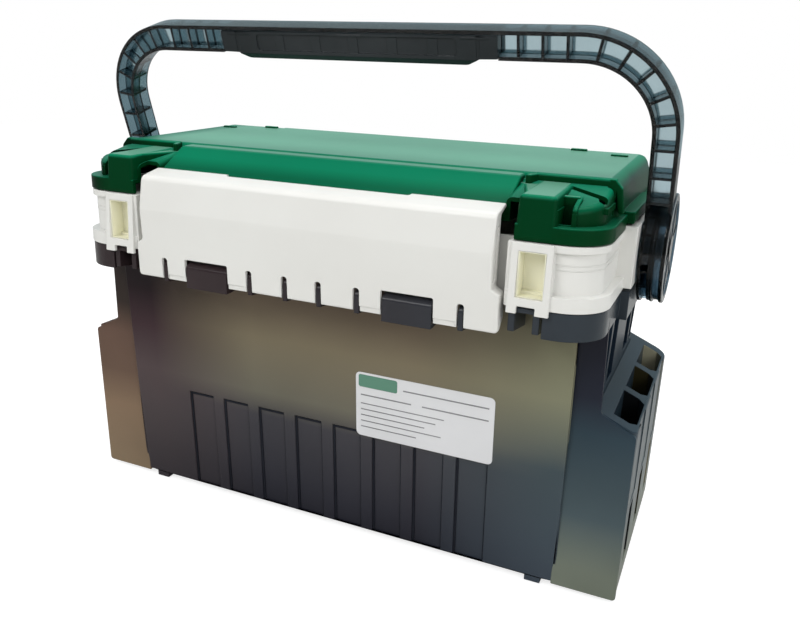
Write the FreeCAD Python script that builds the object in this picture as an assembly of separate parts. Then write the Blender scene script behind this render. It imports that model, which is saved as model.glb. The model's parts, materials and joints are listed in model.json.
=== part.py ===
import FreeCAD, Part
import math
import os

# Fishing seat box in millimetres, +Z up, front facing -Y.
# The origin is on the floor under the middle of the box.
# A translucent tapered tub carries a white middle frame on a rear hinge.
# The frame holds a shallow tray, the green seat lid and the carrying handle.
# A wide front latch is hinged along its foot on the tub's rim.

# Overall size of the moulded middle frame and heights of the layers
FRAME_HALF_X = 190.0
FRAME_HALF_Y = 113.0
FRAME_CORNER = 27.0
RIM_TOP = 204.7
FRAME_BOTTOM = 205.0
FRAME_TOP = 243.0
LID_BOTTOM = 243.4
LID_FRONT_TOP = 274.0
LID_REAR_TOP = 279.0

# Tub: tapered, wider at the top, sizes given as (foot, mouth)
TUB_FOOT_Z = 5.0
TUB_TOP_Z = 197.0
TUB_HALF_X = (183.5, 188.5)
TUB_HALF_Y = (75.0, 86.0)
TUB_CORNER = 15.0
TUB_WALL = 3.0
FLUTE_COUNT = 8
FLUTE_PITCH = 31.6
FLUTE_WIDTH = 22.4
FLUTE_TOP = 86.0
FLUTE_DEPTH = 1.6
FOOT_HEIGHT = 5.0
FOOT_PLACE = (150.0, 56.0)
FOOT_RADIUS = 11.5
CELL_Y = (-62.0, -34.0, 34.0, 62.0)
CELL_WIDTH = 22.0
CELL_Z = (142.0, 189.0)
CELL_BACK = 179.5

# Rim moulded round the tub's mouth
RIM_GAP = 0.6
FLANGE_THICK = 3.0
SKIRT_WALL = 2.4
SKIRT_FOOT = 188.0
LATCH_BAY_X = 134.0
LATCH_BAY_Y = -96.0
GUSSET_HALF = 1.2

# Tool holders on the two ends, three sockets each
HOLDER_OUT_X = 213.5
HOLDER_Y = (-79.0, 87.0)
HOLDER_FOOT_Z = 6.0
HOLDER_LEDGE = (136.0, 125.0)
SOCKET_PITCH = 50.8
SOCKET_LENGTH = 42.0
SOCKET_X = (197.0, 211.3)
SOCKET_FIRST_Y = -67.5
SOCKET_FLOOR = 12.0
HOLDER_CORE_X = (189.6, 194.6)
HOLDER_CORE_TOP = 128.0

# Front latch and its hinge
LATCH_AXIS = (-108.0, 190.5)
LATCH_HALF_X = (126.3, 131.8)
LATCH_FLARE_Z = 211.0
LATCH_BOTTOM = 187.5
LATCH_WALL = 2.8
LUG_X = (12.5, 39.6, 108.4)
SLOT_WIDTH = 4.6
SLOT_TOP = 202.5
TAB_X = (57.3, 90.3)
BARREL_RADIUS = 3.9
BARREL_SIDE_GAP = 2.6
LATCH_PIN_X = (43.0, 105.0)
LIP_REAR = (-95.6, 261.2)

# Corner columns of the frame
COLUMN_X = (135.5, 160.3)
COLUMN_FRONT = -116.0
COLUMN_WINDOW_Z = (211.0, 238.0)
WINDOW_BACK = -101.5

# Tray inside the frame and its walls
TRAY_HALF_X = 181.6
TRAY_Y = (-95.3, 104.8)
TRAY_Z = (207.4, 241.0)
TRAY_CORNER = 20.0
TRAY_WALL = 2.0
TRAY_FLOOR_TOP = 209.6
CROSS_WALL_X = 62.0

# Seat lid
LID_WALL = 2.6
LID_FRONT_Y = -94.6
PLATEAU_HALF_X = 126.5
LID_END_X = 185.5
LIP_TOP = 253.0
PLATFORM_HALF_X = 182.0
PLATFORM_Y = (-105.0, 103.0)
PLATFORM_Z = (262.5, 271.8)
PLATFORM_CORNER = 22.0
SEAT_FRONT_Y = -62.0
SEAT_FRONT_Z = 275.2
END_RAIL = (183.0, 192.4, -45.0, 45.0, 247.3, 254.8)
BEAD_X = (128.0, 181.6)
PAD_INNER = (128.0, 140.0, 60.0, 64.0)
PAD_OUTER = (160.0, 172.0, 44.0, 48.0)
RIB_X = (-90.0, 0.0, 90.0)
RIB_Y = 10.0

# Rear hinges
FRAME_AXIS = (114.5, 208.0)
LID_AXIS = (110.5, 245.5)
REAR_KNUCKLE_X = 112.0
REAR_PIN_X = (101.5, 129.2)
PIN_RADIUS = 1.8
PIN_GAP = 0.1
KNUCKLE_HALF = 10.5
LUG_OFFSET = 14.0
LUG_HALF = 3.0

# Handle: an open channel arch on two hubs, leaning forward at rest
PIVOT_Z = 226.0
LEAN = 17.4
HUB_RADIUS = 36.5
ARCH_IN_X = 196.2
ARCH_OUT_X = 209.2
ARCH_TOP = 140.0
ARCH_DEPTH = 26.4
ARCH_BEND = 60.0
ARCH_BAR = 15.3
FLANGE = 2.4
WEB_THICK = 2.0
GRIP_HALF_X = 101.0
GRIP_UNDER = 119.0
BOSS_X = 195.4
BOSS_X_INNER = 184.0
BOSS_HALF_Y = 46.0
HUB_THICK = 8.0
CAP_THICK = 7.2
STUD_RADIUS = 6.0
STUD_GAP = 0.1

V = FreeCAD.Vector


def box(x0, x1, y0, y1, z0, z1):
    return Part.makeBox(x1 - x0, y1 - y0, z1 - z0, V(x0, y0, z0))


def fuse(shapes):
    shapes = list(shapes)
    if len(shapes) == 1:
        return shapes[0]
    return shapes[0].multiFuse(shapes[1:]).removeSplitter()


def cut(shape, tools):
    tools = list(tools)
    return shape.cut(tools) if tools else shape


def mirror_x(shape):
    return shape.mirror(V(0, 0, 0), V(1, 0, 0))


def both_sides(shape):
    return [shape, mirror_x(shape)]


def outline(corners, place):
    """Closed wire through corners (a, b, radius), mapped into space by place(a, b)."""
    count = len(corners)
    ends = []
    for i, (a, b, r) in enumerate(corners):
        here = V(a, b, 0)
        before = V(*corners[i - 1][:2], 0) - here
        after = V(*corners[(i + 1) % count][:2], 0) - here
        if r <= 0:
            ends.append((here, None, here))
            continue
        before.normalize()
        after.normalize()
        half = before.getAngle(after) / 2
        run = r / math.tan(half)
        bisector = before + after
        bisector.normalize()
        centre = here + bisector * (r / math.sin(half))
        middle = centre - bisector * r
        ends.append((here + before * run, middle, here + after * run))
    edges = []
    for i, (start, middle, end) in enumerate(ends):
        if middle is not None:
            edges.append(Part.Arc(place(start.x, start.y), place(middle.x, middle.y),
                                  place(end.x, end.y)).toShape())
        following = ends[(i + 1) % count][0]
        if (following - end).Length > 1e-6:
            edges.append(Part.makeLine(place(end.x, end.y), place(following.x, following.y)))
    return Part.Wire(edges)


def slab_z(corners, z0, z1):
    """Prism of a plan outline between two heights."""
    wire = outline(corners, lambda a, b: V(a, b, z0))
    return Part.Face(wire).extrude(V(0, 0, z1 - z0))


def slab_x(corners, x0, x1):
    """Prism of a side profile (y, z) between two x positions."""
    wire = outline(corners, lambda a, b: V(x0, a, b))
    return Part.Face(wire).extrude(V(x1 - x0, 0, 0))


def slab_y(corners, y0, y1):
    """Prism of a front profile (x, z) between two y positions."""
    wire = outline(corners, lambda a, b: V(a, y0, b))
    return Part.Face(wire).extrude(V(0, y1 - y0, 0))


def rounded_plan(half_x, y0, y1, radius):
    return [(half_x, y0, radius), (half_x, y1, radius), (-half_x, y1, radius), (-half_x, y0, radius)]


def rounded_block(half_x, half_y, radius, z0, z1):
    return slab_z(rounded_plan(half_x, -half_y, half_y, radius), z0, z1)


def rod_x(x0, x1, y, z, radius):
    return Part.makeCylinder(radius, x1 - x0, V(x0, y, z), V(1, 0, 0))


def tapered_block(half_x, half_y, radius, z0, z1):
    """Block with leaning flat sides, each half size given as (bottom, top), and round upright corners."""
    low, high = [], []
    for side_x, side_y in ((1, -1), (1, 1), (-1, 1), (-1, -1)):
        low.append(V(side_x * half_x[0], side_y * half_y[0], z0))
        high.append(V(side_x * half_x[1], side_y * half_y[1], z1))
    rings = [low[::-1], high]
    rings += [[low[i], low[(i + 1) % 4], high[(i + 1) % 4], high[i]] for i in range(4)]
    faces = [Part.Face(Part.makePolygon(ring + ring[:1])) for ring in rings]
    block = Part.Solid(Part.Shell(faces))
    upright = [e for e in block.Edges if abs(e.Vertexes[0].Z - e.Vertexes[1].Z) > 1e-6]
    return block.makeFillet(radius, upright)


def tub_half_y(z):
    share = (z - TUB_FOOT_Z) / (TUB_TOP_Z - TUB_FOOT_Z)
    return TUB_HALF_Y[0] + share * (TUB_HALF_Y[1] - TUB_HALF_Y[0])


def tub_half_x(z):
    share = (z - TUB_FOOT_Z) / (TUB_TOP_Z - TUB_FOOT_Z)
    return TUB_HALF_X[0] + share * (TUB_HALF_X[1] - TUB_HALF_X[0])


def wall_flutes():
    """Recessed panels low on the front and rear walls, open at the foot."""
    tools = []
    first = -(FLUTE_COUNT - 1) / 2 * FLUTE_PITCH
    for side in (-1, 1):
        for i in range(FLUTE_COUNT):
            x = first + i * FLUTE_PITCH
            inner_low = tub_half_y(0.0) - FLUTE_DEPTH
            inner_high = tub_half_y(FLUTE_TOP) - FLUTE_DEPTH
            outer = TUB_HALF_Y[1] + 5
            profile = [(side * inner_low, 0, 0), (side * inner_high, FLUTE_TOP, 0),
                       (side * outer, FLUTE_TOP + 6, 0), (side * outer, 0, 0)]
            tools.append(slab_x(profile, x - FLUTE_WIDTH / 2, x + FLUTE_WIDTH / 2))
    return tools


def end_cells():
    """Upright recesses in the end walls between the rim and the tool holder's ledge."""
    tools = []
    for y in CELL_Y:
        y0 = y - CELL_WIDTH / 2
        y1 = y + CELL_WIDTH / 2
        tools += both_sides(box(CELL_BACK, HOLDER_OUT_X, y0, y1, *CELL_Z))
    return tools


def tub_form(inset, z0):
    """Tapered solid of the tub, moved in by inset, from z0 up to the mouth."""
    return tapered_block([v - inset for v in TUB_HALF_X], [v - inset for v in TUB_HALF_Y],
                         TUB_CORNER - inset, z0, TUB_TOP_Z)


def body_tub():
    outer = tub_form(0.0, TUB_FOOT_Z)
    inner = tub_form(TUB_WALL, TUB_FOOT_Z + TUB_WALL)
    # inner backs of the recessed cells keep the end walls closed
    backs = []
    for y in CELL_Y:
        half = CELL_WIDTH / 2 + 2
        backs += both_sides(box(CELL_BACK - 2.5, 187, y - half, y + half, CELL_Z[0] - 2.5, CELL_Z[1] + 2.5))
    shell = fuse([outer.cut(inner)] + [b.common(outer) for b in backs] + foot_blocks())
    return cut(shell, wall_flutes() + end_cells())


def foot_blocks():
    """Moulded blocks that run down from the front and rear walls beside the rubber feet."""
    x, y = FOOT_PLACE
    near = tub_half_y(TUB_FOOT_Z)
    block = box(x + 2, x + 13, -near + 0.2, -y - FOOT_RADIUS - 0.4, 0.3, TUB_FOOT_Z + 1)
    return both_sides(block) + both_sides(block.mirror(V(0, 0, 0), V(0, 1, 0)))


def pin_bores(axis, gap, ends=REAR_PIN_X):
    """Bores for the two hinge pins on one axis: gap is zero where the pins are held."""
    return both_sides(rod_x(ends[0] - gap, ends[1] + gap, *axis, PIN_RADIUS + gap))


def rim_gussets(half_x, half_y, top):
    """Upright webs between the skirt and the tub: front corners, ends and rear."""
    webs = []
    for x in (136.5, 151.0):
        profile = [(-tub_half_y(190) + 0.5, 186, 0), (-tub_half_y(RIM_TOP) + 0.5, RIM_TOP, 0),
                   (-half_y, top, 0), (-half_y, 190, 0)]
        webs += both_sides(slab_x(profile, x, x + 4.0))
    for y in (20.0, 48.0, 74.0):
        for place in (-y, y):
            webs += both_sides(box(184.5, half_x, place - GUSSET_HALF, place + GUSSET_HALF, 190.5, top + 1))
    for x in (30.0, 70.0, 152.0):
        webs += both_sides(box(x - GUSSET_HALF, x + GUSSET_HALF, tub_half_y(190) - 0.5, half_y, 190, top + 1))
    return webs


def body_rim():
    """Flange and skirt moulded round the tub's mouth, with the hinge lugs."""
    under = RIM_TOP - FLANGE_THICK
    half_x = FRAME_HALF_X - RIM_GAP
    half_y = FRAME_HALF_Y - RIM_GAP
    radius = FRAME_CORNER - RIM_GAP
    flange = rounded_block(half_x, half_y, radius, under, RIM_TOP)
    flange = flange.cut(box(-LATCH_BAY_X, LATCH_BAY_X, -130, LATCH_BAY_Y, 180, 210))
    collar = rounded_block(TUB_HALF_X[1], TUB_HALF_Y[1], TUB_CORNER, TUB_TOP_Z, RIM_TOP)
    skirt = rounded_block(half_x, half_y, radius, SKIRT_FOOT, RIM_TOP)
    skirt = skirt.cut(rounded_block(half_x - SKIRT_WALL, half_y - SKIRT_WALL, radius - SKIRT_WALL,
                                    SKIRT_FOOT, RIM_TOP))
    # the skirt is left out behind the latch and under the columns
    skirt = cut(skirt, [box(-156.5, 156.5, -130, -60, 180, under),
                        box(-LATCH_BAY_X, LATCH_BAY_X, -130, -60, 180, 210)])
    pads = both_sides(box(185, BOSS_X - RIM_GAP, -44, 44, 186, RIM_TOP))
    lugs = latch_lugs() + frame_lugs()
    rim = fuse([flange, collar, skirt] + rim_gussets(half_x, half_y, under) + pads + lugs)
    mouth = rounded_block(TUB_HALF_X[1] - TUB_WALL, TUB_HALF_Y[1] - TUB_WALL, TUB_CORNER - TUB_WALL,
                          TUB_TOP_Z, RIM_TOP)
    bores = pin_bores(LATCH_AXIS, 0.0, LATCH_PIN_X) + pin_bores(FRAME_AXIS, 0.0)
    return cut(rim, [mouth, tub_form(0.0, TUB_FOOT_Z)] + bores)


def latch_lugs():
    """Narrow ribs and two broad round-topped tabs that carry the latch pin."""
    y, z = LATCH_AXIS
    lugs = []
    back = -tub_half_y(190) + 0.5
    for x in LUG_X:
        rib = [(y - 6.5, z - 5, 0), (back, z - 8, 0), (back, RIM_TOP - 1, 0), (-97, RIM_TOP - 1, 0),
               (y - 6.5, z + 9, 4)]
        lugs += both_sides(slab_x(rib, x - 1.7, x + 1.7))
    tab = [(y - 7.6, z - 7.0, 0), (y - 3.0, z - 7.0, 0), (back, z - 4.0, 0), (back, RIM_TOP - 1, 0),
           (-97, RIM_TOP - 1, 0), (y - 4.0, z + 10.5, 2), (y - 7.6, z + 8.0, 3)]
    lugs += both_sides(slab_x(tab, *TAB_X))
    return lugs


def frame_lugs():
    """A lug outside each rear knuckle that carries the frame's hinge pin."""
    y, z = FRAME_AXIS
    x0 = REAR_KNUCKLE_X + LUG_OFFSET - LUG_HALF
    x1 = REAR_KNUCKLE_X + LUG_OFFSET + LUG_HALF
    web = slab_x([(y - 3.0, z, 0), (y + 3.0, z, 0), (y - 2.0, 189, 0), (y - 8, 189, 0)], x0, x1)
    return both_sides(rod_x(x0, x1, y, z, 3.0).fuse(web))


def tool_holder():
    """Right-hand holder: three deep open sockets behind a fluted outer wall."""
    y0, y1 = HOLDER_Y
    in_x = tub_half_x(HOLDER_LEDGE[0]) - 6
    profile = [(in_x, HOLDER_FOOT_Z, 0), (HOLDER_OUT_X - 0.6, HOLDER_FOOT_Z, 0),
               (HOLDER_OUT_X, HOLDER_LEDGE[1], 3), (in_x, HOLDER_LEDGE[0] + 3.0, 0)]
    block = slab_y(profile, y0, y1)
    plan = [(in_x - 1, y0, 0), (HOLDER_OUT_X, y0, 9), (HOLDER_OUT_X, y1, 9), (in_x - 1, y1, 0)]
    block = block.common(slab_z(plan, 0, 150))
    block = block.cut(tub_form(0.0, TUB_FOOT_Z))
    # the wall between the sockets and the tub is hollow from below
    tools = [box(*HOLDER_CORE_X, y0 + 4, y1 - 4, 0, HOLDER_CORE_TOP)]
    for i in range(3):
        y = SOCKET_FIRST_Y + i * SOCKET_PITCH
        end = y + SOCKET_LENGTH
        plan = [(SOCKET_X[0], y, 0), (SOCKET_X[1] - 4, y, 0), (SOCKET_X[1], y + 4, 0), (SOCKET_X[1], end - 4, 0),
                (SOCKET_X[1] - 4, end, 0), (SOCKET_X[0], end, 0)]
        tools.append(slab_z(plan, SOCKET_FLOOR, 150))
        # long drain slot low in the outer wall
        tools.append(box(SOCKET_X[1] - 1, HOLDER_OUT_X + 1, y + 12, y + 30, 20, 62))
        # shallow flute up the outer wall above the slot
        tools.append(box(HOLDER_OUT_X - 0.9, HOLDER_OUT_X + 1, y + 9, y + 33, 66, 140))
    return cut(block, tools)


def feet():
    """Four round rubber feet under the tub's corners."""
    pads = []
    for x in (-FOOT_PLACE[0], FOOT_PLACE[0]):
        for y in (-FOOT_PLACE[1], FOOT_PLACE[1]):
            pads.append(Part.makeCylinder(FOOT_RADIUS, FOOT_HEIGHT, V(x, y, 0)))
    return Part.makeCompound(pads)


def latch_plan(z0, z1, flare):
    """Front view of the latch between two heights with its flared foot."""
    top, foot = LATCH_HALF_X
    return [(-top, z1, 3), (top, z1, 3), (top, LATCH_FLARE_Z + 3, 0), (foot - 0.6, LATCH_FLARE_Z, 0),
            (foot, z0, flare), (-foot, z0, flare), (-foot + 0.6, LATCH_FLARE_Z, 0),
            (-top, LATCH_FLARE_Z + 3, 0)]


def latch_section(inset):
    """Side profile of the latch skin moved inwards by inset."""
    rear_y, top_z = LIP_REAR
    return [(-114.9 + inset, LATCH_BOTTOM, 0), (-117.5 + inset, 235.0, 0),
            (-113.6 + inset, 257.2 - inset, 2.5), (rear_y, top_z - inset, 0)]


def latch_returns(skin):
    """Side walls that run back from the skin to just in front of the frame."""
    closed = skin + [(LIP_REAR[0], 259, 0), (-104.5, 256, 3), (-104.5, LATCH_BOTTOM + 8, 0)]
    top, foot = LATCH_HALF_X
    step = LATCH_FLARE_Z + 3
    upper = slab_x(closed, top - 2.4, top).common(box(0, 140, -125, -90, step, 270))
    lower = slab_x(closed, foot - 3.0, foot - 0.6).common(box(0, 140, -125, -90, 180, LATCH_FLARE_Z))
    bridge = box(top - 2.4, foot - 0.6, -116, -104.5, LATCH_FLARE_Z - 0.5, step + 0.2)
    walls = []
    for wall in (upper, lower, bridge):
        walls += both_sides(wall)
    return walls


def latch_barrels():
    """Two hinge barrels between the outer ribs of the rim, which its broad tabs divide."""
    y, z = LATCH_AXIS
    x0 = LUG_X[1] + BARREL_SIDE_GAP
    x1 = LUG_X[2] - BARREL_SIDE_GAP
    arm = slab_x([(y - 6, z - 3, 0), (y, z - BARREL_RADIUS, 0), (y, z + BARREL_RADIUS, 0),
                  (y - 7, z + 5, 0)], x0, x1)
    return both_sides(rod_x(x0, x1, y, z, BARREL_RADIUS).fuse(arm))


def latch_openings():
    """Slots and windows for the lugs, the stepped foot and the narrower lip."""
    tools = []
    for x in LUG_X:
        half = SLOT_WIDTH / 2
        tools += both_sides(box(x - half, x + half, -125, -96, 180, SLOT_TOP))
    tools += both_sides(box(TAB_X[0] - 0.9, TAB_X[1] + 0.9, -125, -96, 180, SLOT_TOP + 1.0))
    # the foot is cut higher between the outer slots and the middle ones
    step = [(LUG_X[1], 180, 0), (LUG_X[2], 180, 0), (LUG_X[2] - 3, LATCH_BOTTOM + 3.5, 0),
            (LUG_X[1], LATCH_BOTTOM + 3.5, 0)]
    tools += both_sides(slab_y(step, -125, -111.5))
    tools.append(box(-66, 66, -98.8, -90, 250, 270))
    return tools + pin_bores(LATCH_AXIS, PIN_GAP, LATCH_PIN_X)


def front_latch():
    """Wide latch: a bent skin with side returns, slots for the lugs and hinge barrels."""
    skin = latch_section(0.0)
    inside = latch_section(LATCH_WALL)
    profile = skin + [(inside[3][0], inside[3][1], 0), (inside[2][0], inside[2][1], 0),
                      (inside[1][0], inside[1][1], 0), (inside[0][0], inside[0][1], 0)]
    foot = LATCH_HALF_X[1]
    front_view = slab_y(latch_plan(LATCH_BOTTOM, 262, 2.5), -125, -90)
    solids = [slab_x(profile, -foot, foot)] + latch_returns(skin)
    ribs = []
    for x in (25.0, 50.0, 98.0):
        ribs += both_sides(slab_x([(-114.0, 206, 0), (-115.5, 235, 0), (-111.5, 254, 0), (-106, 252, 0),
                                   (-106, 210, 0)], x - 1, x + 1))
    shape = fuse([part.common(front_view) for part in solids] + latch_barrels() + ribs)
    return cut(shape, latch_openings())


def latch_pins():
    return Part.makeCompound(both_sides(rod_x(*LATCH_PIN_X, *LATCH_AXIS, PIN_RADIUS)))


def column():
    """Right front column of the frame, leaning back a little towards its top."""
    x0, x1 = COLUMN_X
    foot_z = 201.8
    post = slab_y([(x0, foot_z, 0), (x1, foot_z, 0), (x1 - 0.6, FRAME_TOP, 0), (x0, FRAME_TOP, 0)],
                  COLUMN_FRONT, LATCH_BAY_Y)
    lean_back = [(-116, 195, 0), (-92, 195, 0), (-92, 250, 0), (-112.5, 250, 0)]
    return post.common(slab_x(lean_back, 120, 170))


def column_openings():
    """Deep window of the right column, the notch between its feet and the step over the rim."""
    x0, x1 = COLUMN_X
    window = box(x0 + 4.4, x1 - 4.2, -120, WINDOW_BACK, *COLUMN_WINDOW_Z)
    notch = box(x0 + 6, x1 - 8, -120, -90, 200, 206.2)
    under = box(120, 170, -FRAME_HALF_Y, -80, 190, FRAME_BOTTOM)
    return [window, notch, under]


def frame_ring(inset, z0, z1, thickness):
    outer = rounded_block(FRAME_HALF_X - inset, FRAME_HALF_Y - inset, FRAME_CORNER - inset, z0, z1)
    hole = inset + thickness
    return outer.cut(rounded_block(FRAME_HALF_X - hole, FRAME_HALF_Y - hole, FRAME_CORNER - hole, z0, z1))


def middle_frame():
    """Ring with a stepped wall, corner columns, handle bosses and rear knuckles."""
    base = frame_ring(0.0, FRAME_BOTTOM, 214.0, 7.5)
    wall = frame_ring(5.0, 214.0, 238.5, 2.5)
    lip = frame_ring(2.5, 238.5, FRAME_TOP, 5.0)
    # the front wall steps back behind the latch
    ring = fuse([base, wall, lip]).cut(box(-LATCH_BAY_X, LATCH_BAY_X, -130, -95, 200, 250))
    front = [box(-135, 135, -98.5, LATCH_BAY_Y, FRAME_BOTTOM, FRAME_TOP)]
    front += both_sides(box(133, 135.6, -112, LATCH_BAY_Y, FRAME_BOTTOM, FRAME_TOP))
    # the tray rests on this inner ledge
    ledge = [box(-180, 180, -98, -92, FRAME_BOTTOM, 207.0), box(-182, 182, 94, 106, FRAME_BOTTOM, 207.0)]
    ledge += both_sides(box(170, 183, -98, 100, FRAME_BOTTOM, 207.0))
    boss = box(BOSS_X_INNER, BOSS_X, -BOSS_HALF_Y, BOSS_HALF_Y, 207, 246)
    boss = boss.cut(box(180, 190.2, -40, 40, FRAME_TOP, 250))
    shape = fuse([ring] + front + ledge + both_sides(column()) + both_sides(boss) + rear_knuckles())
    tools = both_sides(rod_x(BOSS_X_INNER + 2, 200, 0, PIVOT_Z, STUD_RADIUS))
    for tool in column_openings():
        tools += both_sides(tool)
    tools += pin_bores(FRAME_AXIS, PIN_GAP) + pin_bores(LID_AXIS, 0.0)
    return cut(shape, tools + hinge_room())


def hinge_room():
    """Clearances in the frame's rear wall for the rim's lugs and the lid's knuckles."""
    lug = REAR_KNUCKLE_X + LUG_OFFSET
    side = LUG_HALF + 0.5
    half = KNUCKLE_HALF + 0.4
    return (both_sides(box(lug - side, lug + side, 110.0, 120, 200, 213.0)) +
            both_sides(box(REAR_KNUCKLE_X - half, REAR_KNUCKLE_X + half, 106.4, 116, 241.4, 250)))


def rear_knuckles():
    """Knuckles for the frame's lower pins and lugs for the lid's upper pins."""
    y, z = FRAME_AXIS
    x0, x1 = REAR_KNUCKLE_X - KNUCKLE_HALF, REAR_KNUCKLE_X + KNUCKLE_HALF
    arm = slab_x([(y - 4, z + 2, 0), (y + 2.9, z, 0), (y + 2.9, z + 3, 0), (y - 4, z + 9, 0)], x0, x1)
    knuckle = rod_x(x0, x1, y, z, 2.9).fuse(arm)
    y, z = LID_AXIS
    x0 = REAR_KNUCKLE_X + LUG_OFFSET - LUG_HALF
    x1 = REAR_KNUCKLE_X + LUG_OFFSET + LUG_HALF
    lug = slab_x([(y - 3.4, 230, 0), (y + 3.4, 236, 0), (y + 3.4, z, 0), (y - 3.4, z, 0)], x0, x1)
    return both_sides(knuckle) + both_sides(lug.fuse(rod_x(x0, x1, y, z, 3.4)))


def hinge_pins(axis):
    return Part.makeCompound(both_sides(rod_x(*REAR_PIN_X, *axis, PIN_RADIUS)))


def upper_tray():
    """Shallow tray that drops into the middle frame."""
    front, rear = TRAY_Y
    outer = slab_z(rounded_plan(TRAY_HALF_X, front, rear, TRAY_CORNER), *TRAY_Z)
    inner = slab_z(rounded_plan(TRAY_HALF_X - TRAY_WALL, front + TRAY_WALL, rear - TRAY_WALL,
                                TRAY_CORNER - TRAY_WALL), TRAY_FLOOR_TOP, TRAY_Z[1])
    return outer.cut(inner)


def tray_long_divider():
    half = TRAY_HALF_X - TRAY_WALL - 0.4
    return box(-half, half, 3.0, 5.2, TRAY_FLOOR_TOP + 0.3, 236.0)


def tray_cross_dividers():
    """Four removable cross walls, two in front of the long wall and two behind it."""
    walls = []
    for x in (-CROSS_WALL_X, CROSS_WALL_X):
        walls.append(box(x - 1, x + 1, TRAY_Y[0] + 2.5, 2.6, TRAY_FLOOR_TOP + 0.3, 234.0))
        walls.append(box(x - 1, x + 1, 5.6, TRAY_Y[1] - 2.5, TRAY_FLOOR_TOP + 0.3, 234.0))
    return Part.makeCompound(walls)


def lid_form(s):
    """Outer form of the seat lid, or with s above zero the sharp-edged hollow inside it."""
    base_z = LID_BOTTOM
    soft = 1 if s == 0 else 0
    # lip that follows the frame
    low = rounded_block(FRAME_HALF_X - 2.0 - s, FRAME_HALF_Y - 2.0 - s, FRAME_CORNER - 2.0 - s,
                        base_z, LIP_TOP - s)
    # corner platforms that rise from a rounded front edge to the foot of the seat
    front, rear = PLATFORM_Y
    plan = slab_z(rounded_plan(PLATFORM_HALF_X - s, front + s, rear - s, PLATFORM_CORNER - s), base_z, 290)
    low_z, high_z = PLATFORM_Z
    rise = slab_x([(front, base_z, 0), (front + s, low_z - s, 4 * soft), (SEAT_FRONT_Y, high_z - s, 0),
                   (72, high_z - s, 0), (rear - s, low_z - s, 0), (rear, base_z, 0)],
                  -PLATFORM_HALF_X, PLATFORM_HALF_X)
    # middle plateau with its sloped front wall
    front = LID_FRONT_Y + s
    top_z = LID_FRONT_TOP - s
    rear_z = LID_REAR_TOP - s
    plateau = slab_x([(front, base_z, 0), (front, 258.6 - s * 0.6, 0), (-69 + s * 0.5, top_z, 4 * soft),
                      (72 - s * 0.5, rear_z, 0), (97 - s, 262 - s, 0), (97 - s, base_z, 0)],
                     -(PLATEAU_HALF_X - s), PLATEAU_HALF_X - s)
    # wide rear part of the seat
    wide = slab_x([(SEAT_FRONT_Y + s, base_z, 0), (SEAT_FRONT_Y + s, SEAT_FRONT_Z - s, 0),
                   (72 - s * 0.5, rear_z, 4 * soft), (90 - s, 264 - s, 0), (92 - s, base_z, 0)],
                  s - LID_END_X, LID_END_X - s)
    half = LID_END_X - s
    ends = slab_y([(-half, base_z, 0), (2.5 - half, 271 - s, 6 * soft), (9.5 - half, 281 - s, 0),
                   (half - 9.5, 281 - s, 0), (half - 2.5, 271 - s, 6 * soft), (half, base_z, 0)], -100, 110)
    form = fuse([low, plan.common(rise), plateau, wide.common(ends)])
    # room in front of the seat's front wall for the latch's lip
    return form.cut(box(-134.2, 134.2, -130, front, 230, 300))


def corner_block():
    """Right front corner block that stands over the frame's column, with its neck."""
    x0, x1 = COLUMN_X
    side = [(-111.4, LID_BOTTOM, 0), (-110.4, 269.4, 3), (SEAT_FRONT_Y + 1, 271.5, 0),
            (SEAT_FRONT_Y + 1, LID_BOTTOM + 10, 0), (-90, LID_BOTTOM, 0)]
    block = slab_x(side, x0 + 0.4, x1 - 1.0)
    front = slab_y([(x0 + 0.4, LID_BOTTOM, 0), (x1 - 1.0, LID_BOTTOM, 0), (x1 - 2.4, 272, 0),
                    (x0 + 1.6, 272, 0)], -115, -50)
    # the neck widens towards the middle of the seat
    neck = slab_z([(x0 + 1.5, -96, 0), (x0 + 12, -96, 0), (x0 + 12, -61, 0), (PLATEAU_HALF_X - 1, -61, 0)],
                  LID_BOTTOM + 8, 269.0)
    return block.common(front).fuse(neck)


def lid_beads():
    """Raised bead along the seat's front edges, the pads near its rear ends and the rails on its ends."""
    bead = box(*BEAD_X, SEAT_FRONT_Y - 1.2, SEAT_FRONT_Y + 1, SEAT_FRONT_Z - 13, SEAT_FRONT_Z + 1.0)
    pads = [box(*PAD_INNER, LID_REAR_TOP - 7, LID_REAR_TOP + 1.4),
            box(*PAD_OUTER, LID_REAR_TOP - 7, LID_REAR_TOP + 1.0)]
    beads = []
    for item in [bead, box(*END_RAIL)] + pads:
        beads += both_sides(item)
    return beads


def lid_ribs(hollow):
    """Ribs under the seat plateau that carry a sitter's weight."""
    ribs = [box(x - 1, x + 1, -90, 100, 263, 285) for x in RIB_X]
    ribs.append(box(-180, 180, RIB_Y - 1, RIB_Y + 1, 263, 285))
    return [r.common(hollow) for r in ribs]


def lid_knuckles():
    y, z = LID_AXIS
    x0, x1 = REAR_KNUCKLE_X - KNUCKLE_HALF, REAR_KNUCKLE_X + KNUCKLE_HALF
    arm = slab_x([(y - 6.5, z - 0.5, 0), (y, z - 2, 0), (y + 3.2, z, 0), (y + 2, z + 3.5, 0),
                  (y - 9, z + 8, 0)], x0, x1)
    return both_sides(rod_x(x0, x1, y, z, 3.2).fuse(arm))


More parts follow.
